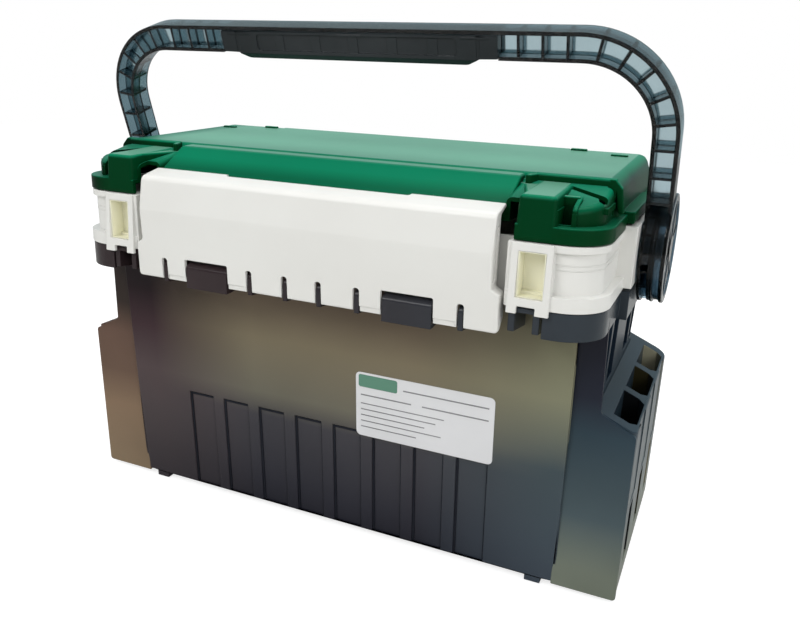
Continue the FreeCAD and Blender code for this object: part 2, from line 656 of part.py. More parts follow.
def seat_lid():
    """Hollow green seat lid with its corner blocks, ribs and hinge knuckles."""
    hollow = lid_form(LID_WALL)
    outer = fuse([lid_form(0.0)] + both_sides(corner_block()) + lid_beads())
    # clearances for the pivot bosses and the frame's hinge lugs
    notch = both_sides(box(BOSS_X_INNER - 0.4, 200, -BOSS_HALF_Y - 1, BOSS_HALF_Y + 1, 240, 246.6))
    half = LUG_OFFSET + LUG_HALF + 1.5
    rear = both_sides(box(REAR_KNUCKLE_X - half, REAR_KNUCKLE_X + half, 103.4, 130, 240, 251))
    shell = cut(outer, [hollow] + notch + rear)
    shell = fuse([shell] + lid_knuckles() + lid_ribs(hollow))
    return cut(shell, pin_bores(LID_AXIS, PIN_GAP))


def arch_band(out, depth):
    """Upright U-shaped band over the pivot, each face moved in by out."""
    top = ARCH_TOP - out
    half = ARCH_OUT_X - out
    bend = ARCH_BEND - out
    inner_top = ARCH_TOP - ARCH_BAR + out
    inner_half = ARCH_IN_X + out
    inner_bend = ARCH_BEND - ARCH_BAR + 1 + out
    corners = [(half, 0, 0), (half, top, bend), (-half, top, bend), (-half, 0, 0),
               (-inner_half, 0, 0), (-inner_half, inner_top, inner_bend),
               (inner_half, inner_top, inner_bend), (inner_half, 0, 0)]
    wire = outline(corners, lambda a, b: V(a, -depth / 2, PIVOT_Z + b))
    return Part.Face(wire).extrude(V(0, depth, 0))


def lean(shape):
    shape = shape.copy()
    shape.rotate(V(0, 0, PIVOT_Z), V(1, 0, 0), LEAN)
    return shape


def arch_ribs():
    """Cross ribs that divide the channel into cells."""
    ribs = []
    thick = 1.6
    for i in range(4):
        x = GRIP_HALF_X + 8 + i * 11.0
        ribs.append(box(x, x + thick, -ARCH_DEPTH / 2 + 0.6, ARCH_DEPTH / 2 - 0.6,
                        PIVOT_Z + ARCH_TOP - ARCH_BAR, PIVOT_Z + ARCH_TOP))
    centre = V(ARCH_OUT_X - ARCH_BEND, 0, PIVOT_Z + ARCH_TOP - ARCH_BEND)
    for i in range(6):
        rib = box(centre.x + 42, centre.x + ARCH_BEND, -ARCH_DEPTH / 2 + 0.6, ARCH_DEPTH / 2 - 0.6,
                  centre.z - thick / 2, centre.z + thick / 2)
        rib.rotate(centre, V(0, -1, 0), i * 90 / 5.5)
        ribs.append(rib)
    for i in range(3):
        z = PIVOT_Z + 44 + i * 13.0
        ribs.append(box(ARCH_IN_X, ARCH_OUT_X, -ARCH_DEPTH / 2 + 0.6, ARCH_DEPTH / 2 - 0.6, z, z + thick))
    out = []
    for rib in ribs:
        out += both_sides(rib)
    return out


def hub():
    """Right hub, a thick disc that its cap covers."""
    return rod_x(ARCH_IN_X, ARCH_IN_X + HUB_THICK, 0, PIVOT_Z, HUB_RADIUS)


def handle_arch():
    """Open channel arch with a middle web, cross ribs and a hub at each foot."""
    solid = arch_band(0.0, ARCH_DEPTH)
    flanges = solid.cut(arch_band(FLANGE, ARCH_DEPTH))
    web = arch_band(FLANGE - 0.5, WEB_THICK)
    above = box(-220, 220, -30, 30, PIVOT_Z + 30, PIVOT_Z + 200)
    ribs = [r.common(solid) for r in arch_ribs()]
    shape = fuse([s.common(above) for s in (flanges, web)] + ribs + both_sides(hub()))
    # the grip takes the place of the channel between its ends
    deep = ARCH_DEPTH / 2 + 1
    raised = PIVOT_Z + ARCH_TOP - ARCH_BAR
    pocket = box(-GRIP_HALF_X, GRIP_HALF_X, -deep, deep, PIVOT_Z + GRIP_UNDER - 5,
                 PIVOT_Z + ARCH_TOP - FLANGE)
    pocket = pocket.cut(box(-GRIP_HALF_X, GRIP_HALF_X, -WEB_THICK / 2, WEB_THICK / 2, raised, PIVOT_Z + ARCH_TOP))
    bore = rod_x(ARCH_IN_X - 1, HOLDER_OUT_X, 0, PIVOT_Z, STUD_RADIUS + STUD_GAP)
    return lean(cut(shape, [pocket] + both_sides(bore)))


def grip_half(side):
    """Front or rear half of the grip, closed over the arch's web."""
    under = PIVOT_Z + GRIP_UNDER
    top = PIVOT_Z + ARCH_TOP - FLANGE - 0.2
    half = GRIP_HALF_X - 0.3
    raised = PIVOT_Z + ARCH_TOP - ARCH_BAR
    deep = ARCH_DEPTH / 2
    corners = [(-half, top, 0), (half, top, 0), (half, raised, 0), (half - 12, raised - 0.3, 4),
               (half - 20, under, 6), (-half + 20, under, 6), (-half + 12, raised - 0.3, 4), (-half, raised, 0)]
    y0, y1 = (1.2, deep) if side > 0 else (-deep, -1.2)
    cross = slab_x([(side * -0.2, top + 1, 0), (side * deep, top + 1, 0), (side * deep, raised - 1, 2),
                    (side * (deep - 3), under, 4), (side * -0.2, under - 0.01, 0)], -half, half)
    block = slab_y(corners, y0, y1).common(cross)
    if side < 0:
        cells = [box(x - 10.5, x + 10.5, y0 - 1, y1 - 4.2, raised + 1.0, top - 2.0) for x in range(-78, 79, 26)]
        block = cut(block, cells)
    return lean(block)


def grip_key():
    """Lower bar of the grip between its halves, under the arch's web."""
    raised = PIVOT_Z + ARCH_TOP - ARCH_BAR - 0.2
    half = GRIP_HALF_X - 21
    return lean(box(-half, half, -WEB_THICK / 2, WEB_THICK / 2, PIVOT_Z + GRIP_UNDER + 0.2, raised))


def pivot_cap():
    """Outer cover of the right hub."""
    x0 = ARCH_IN_X + HUB_THICK + 0.1
    x1 = x0 + CAP_THICK
    radius = HUB_RADIUS - 0.2
    # room for the arch's foot where it runs down behind the cap
    deep = ARCH_DEPTH / 2 + 0.2
    foot = box(ARCH_IN_X, ARCH_OUT_X + 0.2, -deep, deep, PIVOT_Z + 29.5, PIVOT_Z + 80)
    cap = rod_x(x0, x1, 0, PIVOT_Z, radius)
    return lean(cap.cut(foot))


def pivot_stud():
    """Stud fixed in the frame's boss, on which the right hub turns."""
    return rod_x(BOSS_X_INNER + 2, ARCH_IN_X + HUB_THICK - 0.2, 0, PIVOT_Z, STUD_RADIUS)


NODES = {
    "body_tub": body_tub,
    "body_rim": body_rim,
    "tool_holder_right": tool_holder,
    "tool_holder_left": lambda: mirror_x(tool_holder()),
    "rubber_feet": feet,
    "latch_pins": latch_pins,
    "frame_hinge_pins": lambda: hinge_pins(FRAME_AXIS),
    "middle_frame": middle_frame,
    "upper_tray": upper_tray,
    "tray_long_divider": tray_long_divider,
    "tray_cross_dividers": tray_cross_dividers,
    "lid_hinge_pins": lambda: hinge_pins(LID_AXIS),
    "pivot_studs": lambda: Part.makeCompound(both_sides(pivot_stud())),
    "seat_lid": seat_lid,
    "front_latch": front_latch,
    "handle_arch": handle_arch,
    "grip_front": lambda: grip_half(-1),
    "grip_rear": lambda: grip_half(1),
    "grip_key": grip_key,
    "pivot_caps": lambda: Part.makeCompound(both_sides(pivot_cap())),
}


def main():
    os.makedirs("parts", exist_ok=True)
    for name, build in NODES.items():
        shape = build()
        shape.exportStep("parts/" + name + ".step")
        extent = shape.BoundBox
        print(name, "solids", len(shape.Solids), "valid", shape.isValid(),
              "x %.1f %.1f" % (extent.XMin, extent.XMax), "y %.1f %.1f" % (extent.YMin, extent.YMax),
              "z %.1f %.1f" % (extent.ZMin, extent.ZMax), "volume %.1f" % (shape.Volume / 1000.0))


main()
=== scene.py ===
import bpy
import bmesh
import json
import math
from mathutils import Matrix, Vector


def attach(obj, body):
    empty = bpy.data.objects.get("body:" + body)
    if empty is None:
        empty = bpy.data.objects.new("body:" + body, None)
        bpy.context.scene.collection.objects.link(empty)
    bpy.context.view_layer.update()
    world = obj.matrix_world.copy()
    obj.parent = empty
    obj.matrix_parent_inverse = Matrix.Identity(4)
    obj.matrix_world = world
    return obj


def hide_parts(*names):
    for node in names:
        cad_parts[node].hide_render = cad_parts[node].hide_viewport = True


# Looks of a fishing seat box. Pieces are drawn in millimetres in the box's own frame and turned into metres.
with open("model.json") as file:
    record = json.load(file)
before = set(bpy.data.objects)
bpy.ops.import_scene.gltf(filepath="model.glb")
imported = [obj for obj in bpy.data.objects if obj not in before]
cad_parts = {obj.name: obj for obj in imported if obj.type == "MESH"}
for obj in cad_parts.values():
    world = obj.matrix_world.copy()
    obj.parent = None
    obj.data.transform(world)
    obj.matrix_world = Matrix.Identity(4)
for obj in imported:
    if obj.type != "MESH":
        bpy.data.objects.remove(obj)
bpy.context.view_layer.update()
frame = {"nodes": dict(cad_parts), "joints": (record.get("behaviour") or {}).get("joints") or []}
nodes = frame["nodes"]

MM = 0.001
X, Y, Z = 0, 1, 2

# Camera, as found from the photograph of 800 x 628 pixels
IMAGE_WIDTH = 800.0
IMAGE_HEIGHT = 628.0
FOCAL_PIXELS = 783.27
CENTRE_PIXEL = (400.08, 310.88)
SENSOR_MM = 36.0
CAMERA_PLACE = Vector((0.24945, -0.53336, 0.33543))
CAMERA_AZIMUTH = math.radians(23.24)
CAMERA_ELEVATION = math.radians(17.47)
CAMERA_ROLL = math.radians(2.02)

# Axes of the joints as the frame gives them, in millimetres
AXES = {joint["name"]: [round(value / MM, 3) for value in joint["pos_m"]] for joint in frame["joints"]}
LATCH_AXIS = AXES["latch_hinge"][Y:]
LID_AXIS = AXES["lid_hinge"][Y:]
PIVOT_Z = AXES["handle_swing"][Z]

# A plane in front of the whole box, in millimetres like all that follows
BEFORE_BOX = -130.0

# Seat lid
LID_BOTTOM = 243.4
LID_WALL = 2.6
SEAT_FRONT, SEAT_REAR = -62.0, 72.0
ABOVE_LID = 290.0
PAST_SIDE = 200.0

# Front latch
LATCH_FOOT = 187.5
LATCH_LIP = -95.6
LATCH_SLOTS = (12.5, 39.6, 108.4)
LATCH_WINDOW = (56.4, 91.2)
LATCH_WINDOW_TOP = 203.5
BEHIND_LATCH = -95.0
PIN_BORE = 1.9

# Handle: two arch lines as half width, height over the pivots and bend, and the channel between them
LEAN = math.radians(17.4)
ARCH_OUTER = (211.5, 140.8, 61.0)
ARCH_INNER = (197.8, 125.4, 45.6)
ARCH_HALF = 8.6
ARCH_MID = -4.6
RIB_HALF = 0.95
WEB_HALF = 0.7
HUB_RADIUS = 36.4
PAST_HUB = (190.0, 215.0)

# Front wall of the tub
TUB_HEIGHT = 200.0
WALL_FOOT_Y, WALL_FOOT_Z = -75.0, 5.0
WALL_SLOPE = 11.0 / 192.0


def make_camera():
    """Camera that sees the box as the photograph does."""
    data = bpy.data.cameras.new("camera")
    data.sensor_fit = "HORIZONTAL"
    data.sensor_width = SENSOR_MM
    data.lens = FOCAL_PIXELS / IMAGE_WIDTH * SENSOR_MM
    data.shift_x = (IMAGE_WIDTH / 2 - CENTRE_PIXEL[0]) / IMAGE_WIDTH
    data.shift_y = (CENTRE_PIXEL[1] - IMAGE_HEIGHT / 2) / IMAGE_WIDTH
    data.clip_start = 0.01
    camera = link("camera", data)
    ca, sa = math.cos(CAMERA_AZIMUTH), math.sin(CAMERA_AZIMUTH)
    ce, se = math.cos(CAMERA_ELEVATION), math.sin(CAMERA_ELEVATION)
    back = Vector((sa * ce, -ca * ce, se))
    right = Vector((ca, sa, 0.0))
    down = right.cross(back)
    cr, sr = math.cos(CAMERA_ROLL), math.sin(CAMERA_ROLL)
    local_x = right * cr - down * sr
    local_y = -(right * sr + down * cr)
    turn = Matrix((local_x, local_y, back)).transposed()
    camera.matrix_world = Matrix.Translation(CAMERA_PLACE) @ turn.to_4x4()
    bpy.context.scene.camera = camera


def make_light(name, place, aim, size, watts):
    """Soft rectangular lamp at place that looks at aim, in metres."""
    data = bpy.data.lights.new(name, "AREA")
    data.shape = "RECTANGLE"
    data.size, data.size_y = size
    data.energy = watts
    lamp = link(name, data)
    lamp.location = place
    lamp.rotation_euler = (Vector(aim) - Vector(place)).to_track_quat("-Z", "Y").to_euler()


def make_lights():
    make_light("key", (-0.7, -1.4, 1.5), (0, 0, 0.15), (0.9, 0.9), 16.0)
    make_light("fill", (1.5, -0.9, 0.8), (0, 0, 0.15), (1.0, 1.0), 8.5)
    make_light("top", (0.2, 0.3, 1.7), (0, 0, 0.2), (1.2, 0.9), 14.0)


def link(name, data):
    """Puts a new object with this data into the scene."""
    item = bpy.data.objects.new(name, data)
    bpy.context.scene.collection.objects.link(item)
    return item


def add_node(tree, kind, **inputs):
    """New shader node, with constants for the inputs that are named, spaces written as _."""
    node = tree.nodes.new(kind)
    for key, value in inputs.items():
        node.inputs[key.replace("_", " ")].default_value = value
    return node


def calculate(tree, operation, first, second):
    """Result of a math operation on two shader outputs."""
    node = tree.nodes.new("ShaderNodeMath")
    node.operation = operation
    tree.links.new(first, node.inputs[0])
    tree.links.new(second, node.inputs[1])
    return node.outputs[0]


def coordinate(tree, source, axis):
    """One axis of the Object, Normal or Generated texture coordinate."""
    place = tree.nodes.new("ShaderNodeTexCoord").outputs[source]
    split = tree.nodes.new("ShaderNodeSeparateXYZ")
    tree.links.new(place, split.inputs[0])
    return split.outputs[axis]


def spread(tree, value, start, end, low=0.0, high=1.0):
    """Node that turns a value between start and end into one between low and high."""
    node = add_node(tree, "ShaderNodeMapRange", From_Min=start, From_Max=end, To_Min=low, To_Max=high)
    tree.links.new(value, node.inputs["Value"])
    return node


def mix_for_rays(tree, rays, plain, shown):
    """Shader that is plain for lighting and shown for the named kinds of ray."""
    path = tree.nodes.new("ShaderNodeLightPath")
    either = path.outputs[rays[0]]
    for ray in rays[1:]:
        either = calculate(tree, "MAXIMUM", either, path.outputs[ray])
    mix = tree.nodes.new("ShaderNodeMixShader")
    tree.links.new(either, mix.inputs[0])
    tree.links.new(plain, mix.inputs[1])
    tree.links.new(shown, mix.inputs[2])
    return mix.outputs[0]


def glow(tree, kind, colour, strength):
    return add_node(tree, kind, Color=(*colour, 1), Strength=strength)


def make_world():
    """Soft plain light, a white backdrop for the eye and a room that gloss sees brighter behind the box."""
    world = bpy.data.worlds.new("studio")
    bpy.context.scene.world = world
    world.use_nodes = True
    tree = world.node_tree
    tree.nodes.clear()
    plain = glow(tree, "ShaderNodeBackground", (0.96, 0.98, 1.0), 0.55)
    white = glow(tree, "ShaderNodeBackground", (1, 1, 1), 1.0)
    room = glow(tree, "ShaderNodeBackground", (0.74, 0.94, 1.0), 1.0)
    behind = spread(tree, coordinate(tree, "Generated", "Y"), -0.3, 0.7, 0.12, 0.6)
    behind.interpolation_type = "SMOOTHSTEP"
    tree.links.new(behind.outputs["Result"], room.inputs["Strength"])
    lit = mix_for_rays(tree, ["Is Glossy Ray"], plain.outputs[0], room.outputs[0])
    seen = mix_for_rays(tree, ["Is Camera Ray", "Is Transmission Ray"], lit, white.outputs[0])
    out = tree.nodes.new("ShaderNodeOutputWorld")
    tree.links.new(seen, out.inputs["Surface"])


def floor_paper():
    """Pale paper that the eye sees a little brighter than it is lit."""
    material = bpy.data.materials.new("floor_paper")
    material.use_nodes = True
    tree = material.node_tree
    tree.nodes.clear()
    paper = add_node(tree, "ShaderNodeBsdfDiffuse", Color=(0.45, 0.45, 0.45, 1))
    light = glow(tree, "ShaderNodeEmission", (1, 1, 1), 0.76)
    both = tree.nodes.new("ShaderNodeAddShader")
    tree.links.new(paper.outputs[0], both.inputs[0])
    tree.links.new(light.outputs[0], both.inputs[1])
    pale = add_node(tree, "ShaderNodeBsdfDiffuse", Color=(0.62, 0.62, 0.6, 1))
    seen = mix_for_rays(tree, ["Is Camera Ray", "Is Transmission Ray"], pale.outputs[0], both.outputs[0])
    out = tree.nodes.new("ShaderNodeOutputMaterial")
    tree.links.new(seen, out.inputs["Surface"])
    return material


def make_floor():
    half_width = 3.0
    below_feet = 0.0003
    mesh = bpy.data.meshes.new("floor")
    corners = [(x * half_width, y * half_width, 0) for x, y in ((-1, -1), (1, -1), (1, 1), (-1, 1))]
    mesh.from_pydata(corners, [], [(0, 1, 2, 3)])
    mesh.materials.append(floor_paper())
    floor = link("floor", mesh)
    floor.location.z = -below_feet


def new_material(name):
    material = bpy.data.materials.new(name)
    material.use_nodes = True
    return material, material.node_tree, material.node_tree.nodes["Principled BSDF"]


def noise(tree, scale, detail):
    """Noise that stays fixed to the piece."""
    node = add_node(tree, "ShaderNodeTexNoise", Scale=scale, Detail=detail)
    tree.links.new(tree.nodes.new("ShaderNodeTexCoord").outputs["Object"], node.inputs["Vector"])
    return node.outputs["Fac"]


def mottle(tree, scale, low, high):
    """Factor that wanders between low and high over the surface."""
    return spread(tree, noise(tree, scale, 3.0), 0.3, 0.7, low, high).outputs["Result"]


def ramp(tree, factor, stops):
    """Colour that runs through the stops (factor, colour)."""
    node = tree.nodes.new("ShaderNodeValToRGB")
    elements = node.color_ramp.elements
    while len(elements) < len(stops):
        elements.new(0.5)
    for element, (place, colour) in zip(elements, stops):
        element.position = place
        element.color = (*colour, 1)
    tree.links.new(factor, node.inputs["Fac"])
    return node.outputs["Color"]


def fine_grain(tree, shader, scale, strength):
    """Moulded surface: fine bump with slightly softened edges."""
    bump = add_node(tree, "ShaderNodeBump", Strength=strength, Distance=0.0001)
    tree.links.new(noise(tree, scale, 4.0), bump.inputs["Height"])
    edge = add_node(tree, "ShaderNodeBevel", Radius=0.0005)
    edge.samples = 4
    tree.links.new(edge.outputs[0], bump.inputs["Normal"])
    tree.links.new(bump.outputs[0], shader.inputs["Normal"])


def blend(tree, factor, first, second, blend_type="MIX"):
    """Goes from the first colour to the second with the factor. All three may be constants or outputs."""
    node = tree.nodes.new("ShaderNodeMix")
    node.data_type = "RGBA"
    node.blend_type = blend_type
    for socket, value in (("Factor", factor), ("A", first), ("B", second)):
        if isinstance(value, float):
            node.inputs[socket].default_value = value
        elif isinstance(value, tuple):
            node.inputs[socket].default_value = (*value, 1)
        else:
            tree.links.new(value, node.inputs[socket])
    return node.outputs["Result"]


def multiply(tree, colour, factor):
    """The colour made lighter or darker by a factor."""
    return blend(tree, 1.0, colour, factor, "MULTIPLY")


def along(tree, axis, start, end):
    """Factor from 0 at start to 1 at end, in millimetres along an axis of the box."""
    return spread(tree, coordinate(tree, "Object", axis), start * MM, end * MM).outputs["Result"]


def plastic(name, colour_of, roughness, gloss=0.3, grain_scale=900.0, grain=0.1, transmission=0.0):
    """Moulded plastic in the colour that colour_of draws, with a fine grain."""
    material, tree, shader = new_material(name)
    tree.links.new(colour_of(tree), shader.inputs["Base Color"])
    tree.links.new(mottle(tree, 25.0, roughness - 0.02, roughness + 0.02), shader.inputs["Roughness"])
    shader.inputs["IOR"].default_value = 1.5
    shader.inputs["Specular IOR Level"].default_value = gloss
    shader.inputs["Transmission Weight"].default_value = transmission
    fine_grain(tree, shader, grain_scale, grain)
    return material


def two_tone(dark, light, scale=9.0):
    """Colour that wanders softly between two tones."""
    return lambda tree: ramp(tree, mottle(tree, scale, 0.0, 1.0), [(0.0, dark), (1.0, light)])


def green_with_painted_light(tree):
    """Deep green on upright faces and a paler blue-green on those that look up, as the piece itself stands,
    which is painted light from above.

    Painted shade makes the low corner platforms and the left end of the seat darker.
    """
    up = coordinate(tree, "Normal", "Z")
    # Painted light: faces that look up are paler, upright faces stay deep green in painted shade.
    seat = ramp(tree, up, [
        (0.0, (0.0, 0.036, 0.009)), (0.3, (0.0, 0.065, 0.025)), (0.78, (0.001, 0.18, 0.085)),
        (0.93, (0.003, 0.195, 0.098)), (0.985, (0.012, 0.21, 0.115)), (1.0, (0.13, 0.34, 0.235))])
    # Painted shade on the low corner platforms, which stay dark though they look up.
    low = ramp(tree, up, [
        (0.0, (0.0, 0.036, 0.009)), (0.9, (0.001, 0.11, 0.05)), (1.0, (0.004, 0.10, 0.045))])
    # Painted shade on the left end of the seat.
    left = ramp(tree, up, [
        (0.0, (0.0, 0.014, 0.004)), (0.3, (0.0, 0.05, 0.02)), (1.0, (0.02, 0.17, 0.10))])
    tone = blend(tree, along(tree, "Z", 262.0, 268.0), low, seat)
    tone = blend(tree, along(tree, "X", -158.0, -176.0), tone, left)
    return multiply(tree, tone, mottle(tree, 6.0, 0.92, 1.08))


def height_colour(tree, stops):
    """Colour that changes up the height of the tub."""
    return ramp(tree, along(tree, "Z", 0.0, TUB_HEIGHT), stops)


def wall_with_painted_shade(tree):
    """Smoke wall in painted light and shade: dark brown in painted shadow under the rim and at the left,
    olive in painted light in the middle, blue-black in painted shade low down and on the end walls.
    """
    # Painted light and shade up the wall: shadow under the rim, light in the middle, shade low down.
    middle = height_colour(tree, [
        (0.0, (0.013, 0.013, 0.02)), (0.12, (0.025, 0.025, 0.034)), (0.40, (0.052, 0.05, 0.058)),
        (0.50, (0.155, 0.145, 0.11)), (0.72, (0.215, 0.18, 0.115)), (0.90, (0.16, 0.115, 0.08)),
        (1.0, (0.05, 0.035, 0.035))])
    # Painted shadow over the left of the wall.
    left = height_colour(tree, [
        (0.0, (0.04, 0.034, 0.04)), (0.3, (0.07, 0.055, 0.058)), (0.5, (0.085, 0.06, 0.062)),
        (0.68, (0.045, 0.022, 0.027)), (0.83, (0.012, 0.003, 0.006)), (1.0, (0.008, 0.002, 0.004))])
    right = height_colour(tree, [
        (0.0, (0.05, 0.065, 0.085)), (0.45, (0.05, 0.07, 0.08)), (0.7, (0.20, 0.20, 0.13)),
        (1.0, (0.16, 0.15, 0.09))])
    # Painted shade: the end walls near black.
    end_wall_shade = (0.01, 0.02, 0.034)
    tones = blend(tree, along(tree, "X", -60.0, -150.0), middle, left)
    tones = blend(tree, along(tree, "X", 70.0, 165.0), tones, right)
    right_end = along(tree, "X", 172.9, 173.4)
    left_end = along(tree, "X", -172.9, -173.4)
    tones = blend(tree, calculate(tree, "MAXIMUM", right_end, left_end), tones, end_wall_shade)
    return multiply(tree, tones, mottle(tree, 5.0, 0.85, 1.15))


def holder_with_painted_light(tree):
    """Smoke wall of the tool holders, with painted light towards the foot and on the back of the rear socket,
    and painted shade under the rim and inside the sockets near the front.
    """
    # Painted light low down and painted shadow high up, under the rim.
    right = height_colour(tree, [
        (0.0, (0.17, 0.19, 0.15)), (0.1, (0.15, 0.17, 0.135)), (0.3, (0.06, 0.085, 0.095)),
        (0.6, (0.025, 0.045, 0.06)), (0.72, (0.013, 0.016, 0.028)), (1.0, (0.008, 0.008, 0.016))])
    left = height_colour(tree, [
        (0.0, (0.26, 0.19, 0.12)), (0.3, (0.24, 0.16, 0.10)), (0.45, (0.13, 0.08, 0.055)),
        (0.62, (0.12, 0.07, 0.05)), (0.75, (0.03, 0.02, 0.016)), (1.0, (0.02, 0.012, 0.012))])
    # Painted shade in the sockets' depth and painted light on the back wall of the rear socket.
    socket = ramp(tree, along(tree, "Y", -70.0, 90.0), [
        (0.0, (0.004, 0.005, 0.006)), (0.30, (0.006, 0.007, 0.008)), (0.62, (0.035, 0.03, 0.012)),
        (0.75, (0.04, 0.034, 0.015)), (0.93, (0.42, 0.40, 0.28)), (1.0, (0.46, 0.44, 0.32))])
    outside = blend(tree, along(tree, "X", 100.0, -100.0), right, left)
    outside = multiply(tree, outside, mottle(tree, 8.0, 0.85, 1.15))
    looks_forward = spread(tree, coordinate(tree, "Normal", "Y"), -0.5, -0.8).outputs["Result"]
    behind_front = along(tree, "Y", -72.0, -68.0)
    return blend(tree, calculate(tree, "MULTIPLY", looks_forward, behind_front), outside, socket)


def rim_colour(tree):
    """Smoke rim: brown-black at the left, blue-black at the right."""
    tones = blend(tree, along(tree, "X", -60.0, 190.0), (0.032, 0.021, 0.023), (0.03, 0.04, 0.05))
    return multiply(tree, tones, mottle(tree, 14.0, 0.8, 1.2))


def smoke_glass(name, tint, density, dark, gloss=0.15):
    """Smoke clear plastic that darkens with the depth of plastic the eye looks through."""
    material, tree, shader = new_material(name)
    tone = multiply(tree, two_tone(dark, tint, 14.0)(tree), mottle(tree, 40.0, 0.95, 1.05))
    tree.links.new(tone, shader.inputs["Base Color"])
    tree.links.new(mottle(tree, 30.0, 0.16, 0.22), shader.inputs["Roughness"])
    shader.inputs["IOR"].default_value = 1.4
    shader.inputs["Specular IOR Level"].default_value = gloss
    shader.inputs["Transmission Weight"].default_value = 1.0
    fine_grain(tree, shader, 400.0, 0.04)
    depth = add_node(tree, "ShaderNodeVolumeAbsorption", Color=(0.22, 0.36, 0.42, 1), Density=density)
    tree.links.new(depth.outputs[0], tree.nodes["Material Output"].inputs["Volume"])
    return material


def steel_material():
    material, tree, shader = new_material("drawn_steel")
    shader.inputs["Metallic"].default_value = 1.0
    tone = two_tone((0.42, 0.42, 0.43), (0.58, 0.58, 0.59), 120.0)(tree)
    tree.links.new(tone, shader.inputs["Base Color"])
    tree.links.new(mottle(tree, 300.0, 0.28, 0.42), shader.inputs["Roughness"])
    fine_grain(tree, shader, 1500.0, 0.2)
    return material


def make_materials():
    """Every finish of the box, by name."""
    smoke_wall = {"gloss": 0.14, "grain_scale": 700.0, "grain": 0.08, "transmission": 0.06}
    smoke_rim = {"gloss": 0.2, "grain_scale": 600.0, "grain": 0.06, "transmission": 0.06}
    white = two_tone((0.735, 0.725, 0.69), (0.775, 0.77, 0.735))
    cream = two_tone((0.86, 0.84, 0.66), (0.90, 0.88, 0.70))
    tray = two_tone((0.60, 0.59, 0.55), (0.66, 0.65, 0.61))
    grip = two_tone((0.008, 0.012, 0.014), (0.022, 0.027, 0.03), 14.0)
    rubber = two_tone((0.012, 0.012, 0.013), (0.022, 0.022, 0.024), 60.0)
    # Near-black paint for the painted shadow strips in the flutes.
    line = two_tone((0.007, 0.008, 0.013), (0.013, 0.015, 0.022), 20.0)
    paper = two_tone((0.70, 0.70, 0.71), (0.74, 0.74, 0.75), 20.0)
    band = two_tone((0.10, 0.24, 0.17), (0.12, 0.27, 0.19), 20.0)
    rule = two_tone((0.22, 0.22, 0.23), (0.30, 0.30, 0.31), 20.0)
    return {
        "smoke": plastic("smoke_wall", wall_with_painted_shade, 0.32, **smoke_wall),
        "holder": plastic("smoke_holder", holder_with_painted_light, 0.3, **smoke_wall),
        "smoke_dark": plastic("smoke_rim", rim_colour, 0.24, **smoke_rim),
        "white": plastic("white_shell", white, 0.32),
        "cream": plastic("cream_recess", cream, 0.4),
        "green": plastic("green_shell", green_with_painted_light, 0.34, gloss=0.05, grain_scale=500.0, grain=0.05),
        "hub": smoke_glass("hub_smoke", (0.60, 0.72, 0.80), 620.0, (0.52, 0.64, 0.72), gloss=0.5),
        "handle": smoke_glass("handle_smoke", (0.84, 0.93, 0.93), 780.0, (0.78, 0.88, 0.88)),
        "grip": plastic("grip_smoke", grip, 0.22, gloss=0.25, grain_scale=400.0),
        "paper": plastic("label_sheet", paper, 0.45),
        "band": plastic("label_band", band, 0.45),
        "line": plastic("flute_shadow_paint", line, 0.3, gloss=0.12),
        "rule": plastic("label_rule", rule, 0.5),
        "tray": plastic("tray_white", tray, 0.42),
        "rubber": plastic("foot_rubber", rubber, 0.62, grain_scale=300.0, grain=0.3),
        "steel": steel_material(),
    }


NODE_FINISH = {
    "smoke": ["body_tub"],
    "smoke_dark": ["body_rim"],
    "holder": ["tool_holder_right", "tool_holder_left"],
    "rubber": ["rubber_feet"],
    "steel": ["latch_pins", "frame_hinge_pins", "lid_hinge_pins", "pivot_studs"],
    "white": ["middle_frame", "front_latch"],
    "tray": ["upper_tray", "tray_long_divider", "tray_cross_dividers"],
    "green": ["seat_lid"],
    "handle": ["handle_arch"],
    "grip": ["grip_front", "grip_rear", "grip_key", "pivot_caps"],
}


def dress_nodes():
    """Gives every CAD node its finish, also those that a piece stands for."""
    for finish, names in NODE_FINISH.items():
        for name in names:
            mesh = nodes[name].data
            mesh.materials.clear()
            mesh.materials.append(materials[finish])


def corner_points(corners, steps):
    """Outline through corners (a, b) or (a, b, radius). A corner with a radius becomes an arc."""
    points = []
    for i, (a, b, *rounding) in enumerate(corners):
        here = Vector((a, b))
        if not any(rounding):
            points.append(here)
            continue
        radius = rounding[0]
        before = (Vector(corners[i - 1][:2]) - here).normalized()
        after = (Vector(corners[(i + 1) % len(corners)][:2]) - here).normalized()
        half = before.angle(after) / 2
        centre = here + (before + after).normalized() * (radius / math.sin(half))
        start = here + before * (radius / math.tan(half)) - centre
        end = here + after * (radius / math.tan(half)) - centre
        turn = start.angle_signed(end)
        for step in range(steps + 1):
            points.append(centre + Matrix.Rotation(-turn * step / steps, 2) @ start)
    return points


def prism(corners, low, high, axis=Z, steps=7):
    """Solid of an outline drawn in the two other axes, from low to high along axis, in millimetres."""
    outline = corner_points(corners, steps)
    build = bmesh.new()
    rings = []
    for level in (low, high):
        ring = []
        for a, b in outline:
            place = {X: (level, a, b), Y: (a, level, b), Z: (a, b, level)}[axis]
            ring.append(build.verts.new(Vector(place) * MM))
        rings.append(ring)
    bottom, top = rings
    build.faces.new(bottom)
    build.faces.new(top[::-1])
    for i in range(len(outline)):
        following = (i + 1) % len(outline)
        build.faces.new((bottom[i], bottom[following], top[following], top[i]))
    bmesh.ops.recalc_face_normals(build, faces=build.faces)
    mesh = bpy.data.meshes.new("prism")
    build.to_mesh(mesh)
    build.free()
    return link("prism", mesh)


def block(x0, x1, y0, y1, z0, z1):
    return prism([(x0, y0), (x1, y0), (x1, y1), (x0, y1)], z0, z1)


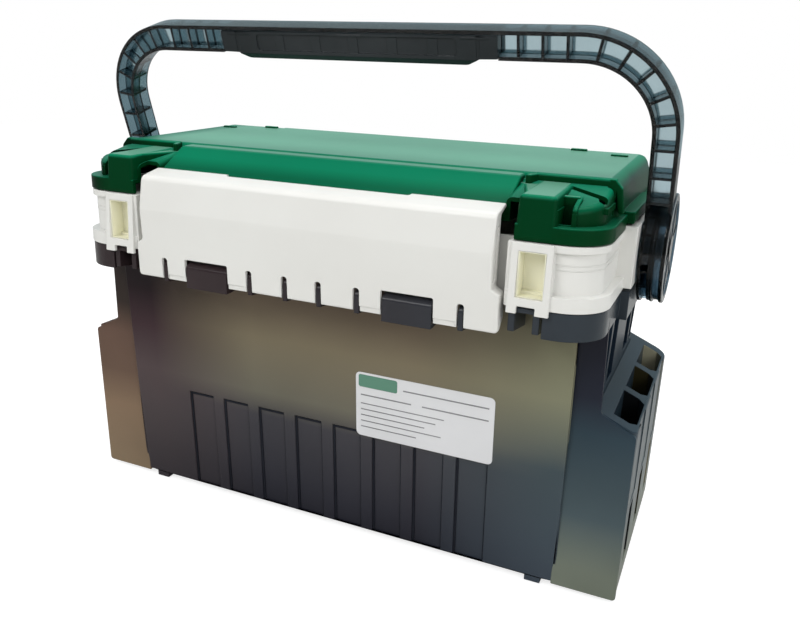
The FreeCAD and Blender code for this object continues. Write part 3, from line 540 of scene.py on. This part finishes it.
def across(side_view, half_width, steps=7):
    """Solid of a side view (y, z) that reaches half_width to both sides of the middle."""
    return prism(side_view, -half_width, half_width, X, steps)


def rod(radius, x0, x1, y, z, steps=36):
    """Round bar along X."""
    turns = [2 * math.pi * step / steps for step in range(steps)]
    circle = [(y + radius * math.cos(turn), z + radius * math.sin(turn)) for turn in turns]
    return prism(circle, x0, x1, X)


def rounded(half_x, front, rear, radius):
    """Plan of a rounded oblong that is centred across the box."""
    sides = ((-half_x, front), (half_x, front), (half_x, rear), (-half_x, rear))
    return [(x, y, radius) for x, y in sides]


def inward(sizes, distance):
    """Sizes from the middle outward, each made smaller by a distance."""
    return [size - distance for size in sizes]


def symmetric(right_half):
    """Closed outline from the corners of its right half, in order from one end to the other."""
    return [(-a, *rest) for a, *rest in right_half] + right_half[::-1]


def settle(piece):
    """Applies a piece's modifiers to its mesh."""
    graph = bpy.context.evaluated_depsgraph_get()
    graph.update()
    mesh = bpy.data.meshes.new_from_object(piece.evaluated_get(graph))
    piece.modifiers.clear()
    piece.data = mesh
    return piece


def combine(piece, tools, operation):
    """Joins the tools to the piece, cuts them out of it or keeps what both share, and uses the tools up."""
    for tool in tools:
        step = piece.modifiers.new(operation, "BOOLEAN")
        step.operation = operation
        step.solver = "EXACT"
        step.object = tool
    settle(piece)
    for tool in tools:
        bpy.data.objects.remove(tool)
    return piece


def flip(piece, across_axis=X):
    """Turns a piece into its mirror image."""
    piece.data.transform(Matrix.Scale(-1, 4, [float(axis == across_axis) for axis in (X, Y, Z)]))
    piece.data.flip_normals()
    return piece


def mirrored(tool):
    """The tool and its mirror image on the other side of the box."""
    return [tool, flip(link(tool.name, tool.data.copy()))]


def on_both_sides(tools):
    return [piece for tool in tools for piece in mirrored(tool)]


def turned(piece, angle, axis, centre):
    """Turns a piece about an axis through a centre in millimetres."""
    middle = Vector([value * MM for value in centre])
    there, back = Matrix.Translation(-middle), Matrix.Translation(middle)
    piece.data.transform(back @ Matrix.Rotation(angle, 4, axis) @ there)
    return piece


def soften(piece, width, segments=3, sharp=32):
    """Rounds every edge of the piece that turns by more than sharp degrees."""
    step = piece.modifiers.new("edges", "BEVEL")
    step.width = width * MM
    step.segments = segments
    step.limit_method = "ANGLE"
    step.angle_limit = math.radians(sharp)
    step.use_clamp_overlap = False
    step.miter_outer = "MITER_ARC"
    return settle(piece)


def from_node(node):
    """A new piece with the shape of a CAD node, welded and with its flat faces joined up."""
    weld = 1e-6
    flat = math.radians(0.3)
    mesh = nodes[node].data.copy()
    mesh.materials.clear()
    build = bmesh.new()
    build.from_mesh(mesh)
    bmesh.ops.remove_doubles(build, verts=build.verts, dist=weld)
    bmesh.ops.dissolve_limit(build, angle_limit=flat, verts=build.verts, edges=build.edges)
    build.to_mesh(mesh)
    build.free()
    return link("shape", mesh)


def finish_piece(piece, name, body, finish, replaced=(), bevel=0.0, sharp=32):
    """Rounds the piece's edges, smooths its shading and hangs it on its body."""
    if bevel > 0:
        soften(piece, bevel, 2, sharp)
    piece.name = name
    mesh = piece.data
    mesh.materials.clear()
    mesh.materials.append(materials[finish])
    mesh.shade_smooth()
    mesh.set_sharp_from_angle(angle=math.radians(sharp))
    weigh = piece.modifiers.new("shading", "WEIGHTED_NORMAL")
    weigh.keep_sharp = True
    settle(piece)
    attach(piece, body)
    if replaced:
        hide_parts(*replaced)


def lid_forms(inset=0.0):
    """Lip, corner platforms, middle plateau and wide rear of the seat, or all moved in for its hollow."""
    outside = inset == 0
    foot = LID_BOTTOM + (LID_WALL if outside else -inset)
    lip_half, lip_reach, lip_corner, lip_top = inward((188.0, 111.0, 25.0, 253.0), inset)
    plan_half, plan_front, plan_rear, plan_corner = inward((182.0, 105.0, 103.0, 22.0), inset)
    edge_top, platform_top, seat_front_top, seat_top = inward((257.0, 271.8, 274.0, 279.0), inset)
    middle_half, middle_front, middle_rear, middle_rear_top = inward((126.5, 94.6, 97.0, 262.0), inset)
    wide_front, wide_front_top = inward((62.0, 275.2), inset)
    wide_edge, wide_edge_top, wide_rear = inward((90.0, 264.0, 92.0), inset)
    end_foot, end_slope, end_slope_top, end_top = inward((185.5, 184.0, 268.0, 181.0), inset)
    rear_edge = (SEAT_REAR - inset / 2, seat_top)
    gap_half = 125.5 + inset
    lip = prism(rounded(lip_half, -lip_reach, lip_reach, lip_corner), LID_BOTTOM - inset, lip_top)
    platform = prism(rounded(plan_half, -plan_front, plan_rear, plan_corner), foot, ABOVE_LID)
    rise_front, rise_rear = -130.0, 128.0
    rise = across([(rise_front, foot), (rise_front, edge_top), (SEAT_FRONT, platform_top),
                   (SEAT_REAR, platform_top), (rise_rear, edge_top), (rise_rear, foot)], PAST_SIDE)
    platform = combine(platform, [rise], "INTERSECT")
    gap = block(-gap_half, gap_half, BEFORE_BOX, SEAT_FRONT, 230.0, ABOVE_LID)
    platform = combine(platform, [gap], "DIFFERENCE")
    plateau = across([(-middle_front, foot), (-middle_front, 258.6 - inset * 0.6),
                      (-69.0 + inset / 2, seat_front_top), rear_edge, (middle_rear, middle_rear_top),
                      (middle_rear, foot)], middle_half)
    wide = across([(-wide_front, foot), (-wide_front, wide_front_top), rear_edge,
                   (wide_edge, wide_edge_top), (wide_rear, foot)], PAST_SIDE)
    end_half = [(end_foot, LID_BOTTOM - 4), (end_slope, end_slope_top), (end_top, 285.0 - inset)]
    ends = prism(symmetric(end_half), -100.0, 110.0, Y)
    wide = combine(wide, [ends], "INTERSECT")
    if outside:
        soften(lip, 1.0)
        soften(platform, 3.6, 4)
        soften(plateau, 1.8, 3, 20)
        soften(wide, 6.0, 6, 25)
    return [lip, platform, plateau, wide]


def lid_corner():
    """Right front corner: the block over the column, its neck, a ridge, a bead, the end rail and the pads."""
    low = LID_BOTTOM - 0.1
    side = prism([(-111.4, low), (-110.4, 269.4), (-61.0, 271.5), (-61.0, 256.0), (-90.0, low)],
                 120.0, 170.0, X)
    front = prism([(135.9, LID_BOTTOM - 1), (159.3, LID_BOTTOM - 1), (157.9, 280.0), (137.3, 280.0)],
                  -120.0, -50.0, Y)
    head = combine(side, [front], "INTERSECT")
    neck = prism([(137.6, -99.0), (148.0, -99.0), (148.0, -60.0), (125.0, -60.0), (125.0, -70.0),
                  (130.0, -74.0)], 251.4, 269.9)
    # The ridge runs right from the block and then down the front of the platform
    ridge = block(156.0, 167.6, -92.6, -89.0, 262.0, 267.9)
    ridge_end = prism([(-104.2, 255.0), (-104.2, 262.0), (-100.5, 264.6), (-89.2, 267.9), (-89.2, 255.0)],
                      165.8, 168.6, X)
    # The bead frames the front of the seat and turns down its corner
    bead = prism([(-64.0, 264.0), (-64.0, 275.2), (-60.0, 276.3), (-58.8, 264.0)], 133.0, 182.4, X)
    bead_start = prism([(129.2, -70.5), (132.6, -71.2), (136.6, -62.0), (134.0, -59.0)], 264.0, 275.3)
    bead_end = prism([(178.0, 275.8), (181.4, 275.8), (186.0, 270.6), (188.0, 256.0), (184.4, 256.0),
                      (182.2, 268.6), (178.0, 272.4)], -64.1, -58.7, Y)
    end_rail = block(183.0, 192.4, -45.0, 45.0, 247.3, 254.8)
    inner_pad = block(128.0, 140.0, 60.0, 64.0, 270.0, 280.2)
    outer_pad = block(160.0, 172.0, 44.0, 48.0, 270.0, 279.6)
    rounding = ((neck, 1.4), (ridge, 0.9), (ridge_end, 0.8), (bead, 1.1), (bead_start, 0.9), (bead_end, 0.9),
                (end_rail, 0.9), (inner_pad, 0.8), (outer_pad, 0.8))
    return [soften(head, 2.6, 4, 25)] + [soften(part, width) for part, width in rounding]


def lid_recesses():
    """Dark pocket beside the block, the slot before the seat's corner and the slanting groove."""
    pocket = block(157.6, 166.0, -112.5, -92.4, 253.4, ABOVE_LID)
    slot = prism([(183.6, -68.4), (177.2, -65.4), (177.2, -63.6), (184.6, -63.6)], 255.0, ABOVE_LID)
    groove = prism([(143.0, -68.6), (150.6, -64.4), (156.0, -67.4), (181.2, -82.2), (181.4, -89.4),
                    (177.6, -89.6), (176.0, -84.6), (152.4, -69.8)], 263.6, ABOVE_LID)
    return [pocket, slot, groove]


def lid_underside():
    """What is taken out of the lid from below: its hollow and the room for latch, bosses and hinge."""
    rib_low, rib_high = 263.0, 285.0
    below = 240.0
    hollow = lid_forms(LID_WALL)
    hollow = combine(hollow[0], hollow[1:], "UNION")
    ribs = [block(x - 1.0, x + 1.0, -90.0, 100.0, rib_low, rib_high) for x in (-90.0, 0.0, 90.0)]
    ribs.append(block(-180.0, 180.0, 9.0, 11.0, rib_low, rib_high))
    hollow = combine(hollow, ribs, "DIFFERENCE")
    latch_room = block(-135.9, 135.9, BEFORE_BOX, -94.7, 230.0, 300.0)
    boss_room = block(184.6, 200.0, -47.0, 47.0, below, 246.6)
    hinge_room = block(93.5, 130.5, 103.4, 130.0, below, 251.0)
    return [hollow, latch_room] + on_both_sides([boss_room, hinge_room])


def lid_knuckle():
    """Right knuckle of the lid's hinge with the arm that carries it."""
    y, z = LID_AXIS
    x0, x1 = 101.5, 122.5
    arm = prism([(y - 6.5, z - 0.5), (y, z - 2.0), (y + 3.2, z), (y + 2.0, z + 3.5), (y - 9.0, z + 8.0)],
                x0, x1, X)
    knuckle = combine(rod(3.2, x0, x1, y, z), [arm], "UNION")
    return combine(knuckle, [rod(PIN_BORE, 90.0, 130.0, y, z)], "DIFFERENCE")


def pocket_walls():
    """Walls that close the pocket beside the block towards the lid's hollow."""
    left, right, rear, bottom = 157.0, 168.6, -89.4, 250.0
    beside_block = block(left, left + 2.2, -109.0, rear, bottom, 262.0)
    behind = block(left, right, rear - 3.0, rear, bottom, 266.0)
    beside_ridge = block(right - 2.6, right, -104.6, rear, bottom, 260.0)
    under_groove = block(143.0, 183.0, rear - 0.6, -64.0, 259.0, 262.4)
    return [beside_block, behind, beside_ridge, under_groove]


def make_lid():
    lip, platform, plateau, wide = lid_forms()
    combine(platform, on_both_sides(lid_recesses()), "DIFFERENCE")
    lid = combine(lip, [platform, plateau, wide] + on_both_sides(lid_corner()), "UNION")
    combine(lid, lid_underside(), "DIFFERENCE")
    combine(lid, on_both_sides([lid_knuckle()] + pocket_walls()), "UNION")
    finish_piece(lid, "seat_shell", "lid", "green", ["seat_lid"])


def latch_skin(inset):
    """Outer line of the latch's side view, moved in by inset: foot, crease, round shoulder and lip."""
    return [(-114.9 + inset, LATCH_FOOT - 5 * inset), (-117.45 + inset, 233.6), (-117.4 + inset, 236.0),
            (-113.6 + inset, 257.2 - inset, 5.0 - inset), (LATCH_LIP + 2 * inset, 261.2 - inset)]


def latch_block():
    """Solid latch with soft edges, before its inside is taken out."""
    inner_line = [(LATCH_LIP, 258.6), (-104.5, 255.6, 2), (-104.5, 196.0), (-112.0, LATCH_FOOT)]
    body = across(latch_skin(0.0) + inner_line, 140.0, 10)
    front = prism(symmetric([(131.8, LATCH_FOOT, 2.5), (131.2, 211.0), (126.3, 214.0), (126.3, 270.0)]),
                  BEFORE_BOX, -80.0, Y)
    return soften(combine(body, [front], "INTERSECT"), 1.1, 4, 35)


def latch_inside():
    """The hollow behind the latch's skin, with ribs left standing in it."""
    skin = 2.8
    inside = latch_skin(skin) + [(-80.0, 250.0), (-80.0, 173.5)]
    upper = across(inside, 123.9, 6)
    above = block(-140.0, 140.0, -140.0, -70.0, 211.5, 300.0)
    lower = combine(across(inside, 128.6, 6), [above], "DIFFERENCE")
    hollow = combine(upper, [lower], "UNION")
    rib = [(-125.0, 206.0), (-125.0, 262.0), (-106.0, 262.0), (-106.0, 210.0)]
    ribs = [prism(rib, x - 1.0, x + 1.0, X) for x in (25.0, 50.0, 98.0)]
    return combine(hollow, on_both_sides(ribs), "DIFFERENCE")


def latch_openings():
    """Slots, windows, the stepped foot, the narrower lip and the grooves down the sides."""
    low = 170.0
    slot_half, slot_top = 2.3, 202.5
    x0, x1 = LATCH_WINDOW
    tools = []
    for x in LATCH_SLOTS:
        left, right = x - slot_half, x + slot_half
        tools.append(prism([(left, low), (right, low), (right, slot_top, 2), (left, slot_top, 2)],
                           BEFORE_BOX, BEHIND_LATCH, Y))
    tools.append(prism([(x0, low), (x1, low), (x1, LATCH_WINDOW_TOP, 1.2), (x0, LATCH_WINDOW_TOP, 1.2)],
                       BEFORE_BOX, BEHIND_LATCH, Y))
    step_left, step_right = LATCH_SLOTS[1:]
    tools.append(prism([(step_left, low), (step_right, low), (step_right - 3.0, 191.0), (step_left, 191.0)],
                       BEFORE_BOX, -111.6, Y))
    groove = prism([(-113.6, 214.6, 2), (-108.0, 218.0, 2), (-107.4, 250.0, 2), (-112.6, 250.0, 2)],
                   125.3, 130.0, X)
    lip_step = prism([(-66.0, -99.4, 1.5), (66.0, -99.4, 1.5), (69.0, -90.0), (-69.0, -90.0)], 250.0, 270.0)
    return on_both_sides(tools) + [lip_step] + mirrored(groove)


def latch_barrel():
    """Right hinge bar of the latch with the arm that carries it, open in the middle for the tub's lug."""
    y, z = LATCH_AXIS
    x0, x1 = 42.2, 105.8
    arm = prism([(y - 6.2, z - 3.0), (y, z - 3.9), (y, z + 3.9), (y - 7.0, z + 5.0)], x0, x1, X)
    barrel = combine(rod(3.9, x0, x1, y, z), [arm], "UNION")
    window = block(*LATCH_WINDOW, BEFORE_BOX, BEHIND_LATCH, 170.0, LATCH_WINDOW_TOP)
    return combine(barrel, [window, rod(PIN_BORE, x0 + 0.7, x1 - 0.7, y, z)], "DIFFERENCE")


def make_latch():
    latch = combine(latch_block(), [latch_inside()] + latch_openings(), "DIFFERENCE")
    combine(latch, mirrored(latch_barrel()), "UNION")
    finish_piece(latch, "latch_shell", "latch", "white", ["front_latch"])


def leaned(piece, y=0.0):
    """Moves an upright part of the handle back by y and tips it forward about the pivots."""
    piece.data.transform(Matrix.Translation((0, y * MM, 0)))
    return turned(piece, LEAN, "X", (0, 0, PIVOT_Z))


def arch_strip(outer, inner, foot, half_depth):
    """U-shaped strip of the handle between two arch lines, down to foot over the pivots."""
    low = PIVOT_Z + foot
    right_half = [(inner[0], PIVOT_Z + inner[1], inner[2]), (inner[0], low),
                  (outer[0], low), (outer[0], PIVOT_Z + outer[1], outer[2])]
    return prism(symmetric(right_half), -half_depth, half_depth, Y, 20)


def arch_ribs():
    """Cross ribs on the right side of the channel: by the grip, fanned round the bend and down the leg."""
    half, height, bend = ARCH_OUTER
    bend_x, bend_z = half - bend, PIVOT_Z + height - bend
    deep = ARCH_HALF - 0.5
    first_x, pitch = 113.5, 15.0
    first_turn, turn_pitch = 13.0, 17.0
    ribs = []
    for i in range(3):
        x = first_x + pitch * i
        ribs.append(block(x - RIB_HALF, x + RIB_HALF, -deep, deep, PIVOT_Z + 124.0, PIVOT_Z + 138.9))
    for i in range(5):
        rib = block(bend_x - RIB_HALF, bend_x + RIB_HALF, -deep, deep, bend_z + 45.0, bend_z + 59.4)
        ribs.append(turned(rib, math.radians(first_turn + turn_pitch * i), "Y", (bend_x, 0, bend_z)))
    for level in (72.0, 54.0, 37.0):
        z = PIVOT_Z + level
        ribs.append(block(196.6, 210.2, -deep, deep, z - RIB_HALF, z + RIB_HALF))
    return ribs


def make_channel():
    """Open channel of the handle: two flanges, a web and ribs, cut away on both sides where the grip sits."""
    foot = 20.0
    outer = soften(arch_strip(ARCH_OUTER, inward(ARCH_OUTER, 2.6), foot, ARCH_HALF), 0.4, 2)
    inner = soften(arch_strip(ARCH_INNER, inward(ARCH_INNER, 2.5), foot, ARCH_HALF), 0.4, 2)
    web = arch_strip(inward(ARCH_OUTER, 1.5), inward(ARCH_INNER, 1.2), foot + 0.5, WEB_HALF)
    deep = ARCH_HALF - 0.4
    root = soften(block(196.2, 210.4, -deep, deep, PIVOT_Z + 22.0, PIVOT_Z + 31.0), 0.5)
    channel = combine(outer, [inner, web] + on_both_sides(arch_ribs() + [root]), "UNION")
    gaps = [block(-101.0, 101.0, y0, y1, PIVOT_Z + 110.0, PIVOT_Z + 138.2)
            for y0, y1 in ((-20.0, -WEB_HALF), (WEB_HALF, 20.0))]
    channel = leaned(combine(channel, gaps, "DIFFERENCE"), ARCH_MID)
    finish_piece(channel, "handle_channel", "handle", "handle", ["handle_arch"], 0.0, 28)


def disc(radius, x0, x1, steps=72):
    """Round plate about the handle's pivots."""
    return rod(radius, x0, x1, 0.0, PIVOT_Z, steps)


def spokes(count, x0, x1, half, low, high):
    """Radial ribs about the pivots at an even pitch, the first half a pitch off upright."""
    pitch = math.radians(360.0 / count)
    ribs = [block(x0, x1, -half, half, PIVOT_Z + low, PIVOT_Z + high) for _ in range(count)]
    return [turned(rib, pitch * (i + 0.5), "X", (0, 0, PIVOT_Z)) for i, rib in enumerate(ribs)]


def hub_disc():
    """Right hub: two discs, a core and radial ribs between them, and a piece of its outer wall."""
    back, front = 196.3, 204.2
    thin = 2.0
    base = soften(disc(HUB_RADIUS, back, back + 2.1), 0.4, 2)
    core = disc(13.0, back + 0.7, front, 48)
    plate = soften(disc(HUB_RADIUS - 0.8, front - thin, front), 0.4, 2)
    wall = combine(disc(HUB_RADIUS - 0.3, back + 1.3, front - 0.2), [disc(33.9, *PAST_HUB)], "DIFFERENCE")
    front_quarter = block(*PAST_HUB, -40.0, -9.0, PIVOT_Z + 6.0, PIVOT_Z + 40.0)
    wall = combine(wall, [front_quarter], "INTERSECT")
    ribs = spokes(18, 197.4, 203.0, 0.7, 11.0, 34.6)
    hub = combine(base, [core, plate, wall] + ribs, "UNION")
    return combine(hub, [disc(6.1, *PAST_HUB, 48)], "DIFFERENCE")


def hub_cap():
    """Outer cover of the right hub: two thin discs with a ring between them, spokes on its sunk face."""
    back, front = 204.3, 212.3
    radius, boss_radius = HUB_RADIUS - 0.2, 9.0
    low = soften(disc(radius, back, back + 1.6), 0.4, 2)
    ring = combine(disc(34.6, 205.0, 210.6), [disc(32.9, 200.0, 215.0)], "DIFFERENCE")
    boss = disc(boss_radius, 205.0, 211.0, 48)
    top = soften(disc(radius, front - 2.6, front), 0.7, 3)
    cap = combine(low, [ring, boss, top], "UNION")
    sunk = combine(disc(31.5, front - 0.9, 215.0), [disc(boss_radius, 205.0, 220.0, 48)], "DIFFERENCE")
    leg_half = ARCH_HALF + 0.2
    leg = block(194.0, 211.6, ARCH_MID - leg_half, ARCH_MID + leg_half, PIVOT_Z + 19.5, PIVOT_Z + 60.0)
    cap = combine(cap, [sunk, leg], "DIFFERENCE")
    return combine(cap, spokes(6, 211.0, front - 0.3, 1.2, 8.0, 32.0), "UNION")


def make_hubs():
    for side in ("right", "left"):
        hub = hub_disc()
        cap = hub_cap()
        if side == "left":
            hub, cap = flip(hub), flip(cap)
        finish_piece(leaned(hub), "hub_" + side, "handle", "hub")
        finish_piece(leaned(cap), "hub_cap_" + side, "handle", "hub", ["pivot_caps"])


def grip_half():
    """Rear half of the grip: a long shallow panel, darker ribs in it and lips that catch the light."""
    low, raised, top = PIVOT_Z + 119.0, PIVOT_Z + 123.6, PIVOT_Z + 138.0
    face = ARCH_HALF
    out = face + 3.0
    outline = [(-100.7, top, 0.8), (100.7, top, 0.8), (100.7, raised, 0.8), (89.0, raised - 0.3, 4),
               (80.7, low, 6), (-80.7, low, 6), (-89.0, raised - 0.3, 4), (-100.7, raised, 0.8)]
    body = prism(outline, 1.0, face, Y)
    panel = prism([(-72.0, raised + 1.4, 2.5), (74.0, raised + 1.4, 2.5), (74.0, top - 2.4, 2.5),
                   (-72.0, top - 2.4, 2.5)], face - 1.1, out, Y)
    seams = [block(x - 1.1, x + 1.1, face - 0.7, out, raised - 3.0, top - 0.6) for x in (-88.0, 88.0)]
    body = combine(body, [panel] + seams, "DIFFERENCE")
    bars = [block(x - 3.4, x + 3.4, face - 1.5, face - 0.45, raised + 1.0, top - 2.0)
            for x in (-54.0, -26.0, 2.0, 30.0, 58.0)]
    body = combine(body, bars, "UNION")
    side_view = [(-0.5, top + 1), (face - 1.0, top + 1), (face - 0.12, top - 0.5, 1),
                 (face - 0.12, raised - 1, 2), (face - 2.4, low - 0.35, 3), (-0.5, low - 1.5)]
    body = combine(body, [across(side_view, 120.0)], "INTERSECT")
    lips = [block(x - 9.0, x + 9.0, face - 1.0, face + 0.2, top - 2.6, top - 1.2) for x in (-86.0, 0.0, 86.0)]
    return combine(body, lips, "UNION")


def make_grip():
    for side in ("front", "rear"):
        half = grip_half()
        if side == "front":
            half = flip(half, Y)
        finish_piece(leaned(half, ARCH_MID), "grip_shell_" + side, "handle", "grip", ["grip_" + side], 0.3)


def plate_on_wall(x0, x1, z0, z1, out, thick, radius=0.0):
    """Thin plate lying on the tub's sloped front wall, out millimetres in front of it."""
    plate = prism([(x0, z0, radius), (x1, z0, radius), (x1, z1, radius), (x0, z1, radius)], 0.0, thick, Y)
    for vertex in plate.data.vertices:
        height = vertex.co.z / MM
        vertex.co.y += (WALL_FOOT_Y - (height - WALL_FOOT_Z) * WALL_SLOPE - out - thick) * MM
    return plate


def make_sticker():
    """Blank label: white sheet, green band and plain grey rules, with no words on it."""
    on_sheet = 0.2
    thin = 0.1
    left, right = 28.0, 121.0
    sheet = plate_on_wall(24.2, 124.8, 83.5, 132.6, 0.02, 0.22, 3.5)
    band = plate_on_wall(26.4, 55.6, 121.6, 131.0, on_sheet, thin, 1.5)
    rows = [(60.0, right, 124.5, 0.5), (left, 66.0, 115.6, 0.5), (74.0, right, 115.6, 0.5)]
    rows += [(left, end, 109.0 - 4.5 * i, 0.4) for i, end in enumerate((90.0, 84.0, 76.0, 88.0, 70.0))]
    rules = [plate_on_wall(x0, x1, z - half, z + half, on_sheet, thin) for x0, x1, z, half in rows]
    finish_piece(sheet, "label_sheet", "tub", "paper")
    finish_piece(band, "label_band", "tub", "band")
    finish_piece(combine(rules[0], rules[1:], "UNION"), "label_rules", "tub", "rule")


def window_lining():
    """Lining of the deep window in the frame's right column, with a ledge at its foot."""
    left, right, low, high = 140.0, 156.0, 211.1, 237.9
    front, back = -113.0, -101.6
    thin, taper = 0.5, 0.4
    lining = block(left, right, front, back, low, high)
    room = prism([(left + thin, BEFORE_BOX), (right - thin, BEFORE_BOX), (right - thin - taper, back - 0.6),
                  (left + thin + taper, back - 0.6)], low + thin, high - thin)
    lining = combine(lining, [room], "DIFFERENCE")
    ledge = block(left + 0.4, right - 0.4, back - 3.4, back - 0.2, low + 0.2, low + 2.3)
    return combine(lining, [ledge], "UNION")


def make_windows():
    for side in ("right", "left"):
        lining = window_lining()
        if side == "left":
            lining = flip(lining)
        finish_piece(lining, "window_lining_" + side, "frame", "cream")


def make_frame():
    """Middle frame from its CAD shape with soft edges and two fine lines round its wall."""
    moulding = soften(from_node("middle_frame"), 0.5, 2)
    finish_piece(moulding, "frame_moulding", "frame", "white", ["middle_frame"])
    half_x, half_y, corner, proud = 184.0, 107.0, 21.0, 1.25
    height = 0.7
    rings = []
    for z in (228.4, 231.2):
        ring_plan = rounded(half_x + proud, -half_y - proud, half_y + proud, corner + proud)
        ring = prism(ring_plan, z, z + height, Z, 10)
        wall = prism(rounded(half_x, -half_y, half_y, corner), z - 1.0, z + 2.0, Z, 10)
        front = block(-161.0, 161.0, BEFORE_BOX, -90.0, 200.0, 250.0)
        rings.append(combine(ring, [wall, front], "DIFFERENCE"))
    finish_piece(combine(rings[0], [rings[1]], "UNION"), "frame_bead", "frame", "white")


def panel_y(z):
    """Front plane of the flat corner panels, level with the wall at the foot and behind it higher up."""
    foot_y, foot_z, lean = -75.2, 3.0, 4.8 / 194.5
    return foot_y - (z - foot_z) * lean


def corner_panel():
    """Flat panel on the right front corner, from the wall's edge out over the tool holder's front."""
    inner, outer, low, high = 170.3, 213.4, 3.2, 197.2
    panel = prism([(inner, low), (outer, low, 2.5), (outer, 123.0, 3), (190.6, 134.8, 3), (189.4, high),
                   (inner, high)], 0.0, 2.6, Y)
    for vertex in panel.data.vertices:
        vertex.co.y += panel_y(vertex.co.z / MM) * MM
    return soften(panel, 0.6, 3, 40)


def room_for_panel(behind, top, x0, x1):
    """Cutter on the right side that takes away all in front of a plane just behind the panels' front."""
    low, before = -2.0, -120.0
    plane = [(panel_y(low) + behind, low), (panel_y(top) + behind, top)]
    return prism([(before, low)] + plane + [(before, top)], x0, x1, X)


def make_tub_shell():
    """Tub from its CAD shape, its front wall ending in an edge before the flat corner panels."""
    shell = from_node("body_tub")
    shell = combine(shell, mirrored(room_for_panel(1.2, 197.4, 172.8, 200.0)), "DIFFERENCE")
    cheek = prism([(-74.8, 5.3), (-85.8, 196.8), (-77.5, 196.8), (-73.5, 5.3)], 170.4, 172.65, X)
    shell = combine(shell, mirrored(cheek), "UNION")
    finish_piece(shell, "tub_shell", "tub", "smoke", ["body_tub"], 0.5)


def make_tub_corners():
    """Corner panels and tool holders. Both holders are drawn from the right one's shape."""
    for side in ("right", "left"):
        panel = corner_panel()
        room = room_for_panel(1.3, 160.0, 180.0, 230.0)
        holder = soften(combine(from_node("tool_holder_right"), [room], "DIFFERENCE"), 0.5, 2)
        if side == "left":
            panel, holder = flip(panel), flip(holder)
        finish_piece(panel, "corner_panel_" + side, "tub", "holder")
        finish_piece(holder, "holder_" + side, "tub", "holder", ["tool_holder_" + side])


def make_rim():
    finish_piece(from_node("body_rim"), "rim_moulding", "tub", "smoke_dark", ["body_rim"], 0.5)


def make_flute_shadow_strips():
    """Painted shadow: dark strips along both edges and the top of each flute's floor."""
    count, pitch = 8, 31.6
    low, top = 6.0, 85.8
    strips = []
    for i in range(count):
        x = pitch * (i - (count - 1) / 2)
        strips.append(plate_on_wall(x - 11.1, x - 9.6, low, top + 0.1, -1.68, 0.75))
        strips.append(plate_on_wall(x - 10.9, x + 11.1, top - 1.5, top, -1.66, 0.65))
        strips.append(plate_on_wall(x + 10.4, x + 11.15, low, top - 0.9, -1.67, 0.45))
    finish_piece(combine(strips[0], strips[1:], "UNION"), "flute_shadow_strips", "tub", "line")


scene = bpy.context.scene
scene.view_settings.view_transform = "Standard"
make_camera()
make_lights()
make_world()
make_floor()
materials = make_materials()
dress_nodes()
make_lid()
make_latch()
make_channel()
make_hubs()
make_grip()
make_sticker()
make_windows()
make_frame()
make_tub_shell()
make_tub_corners()
make_rim()
make_flute_shadow_strips()
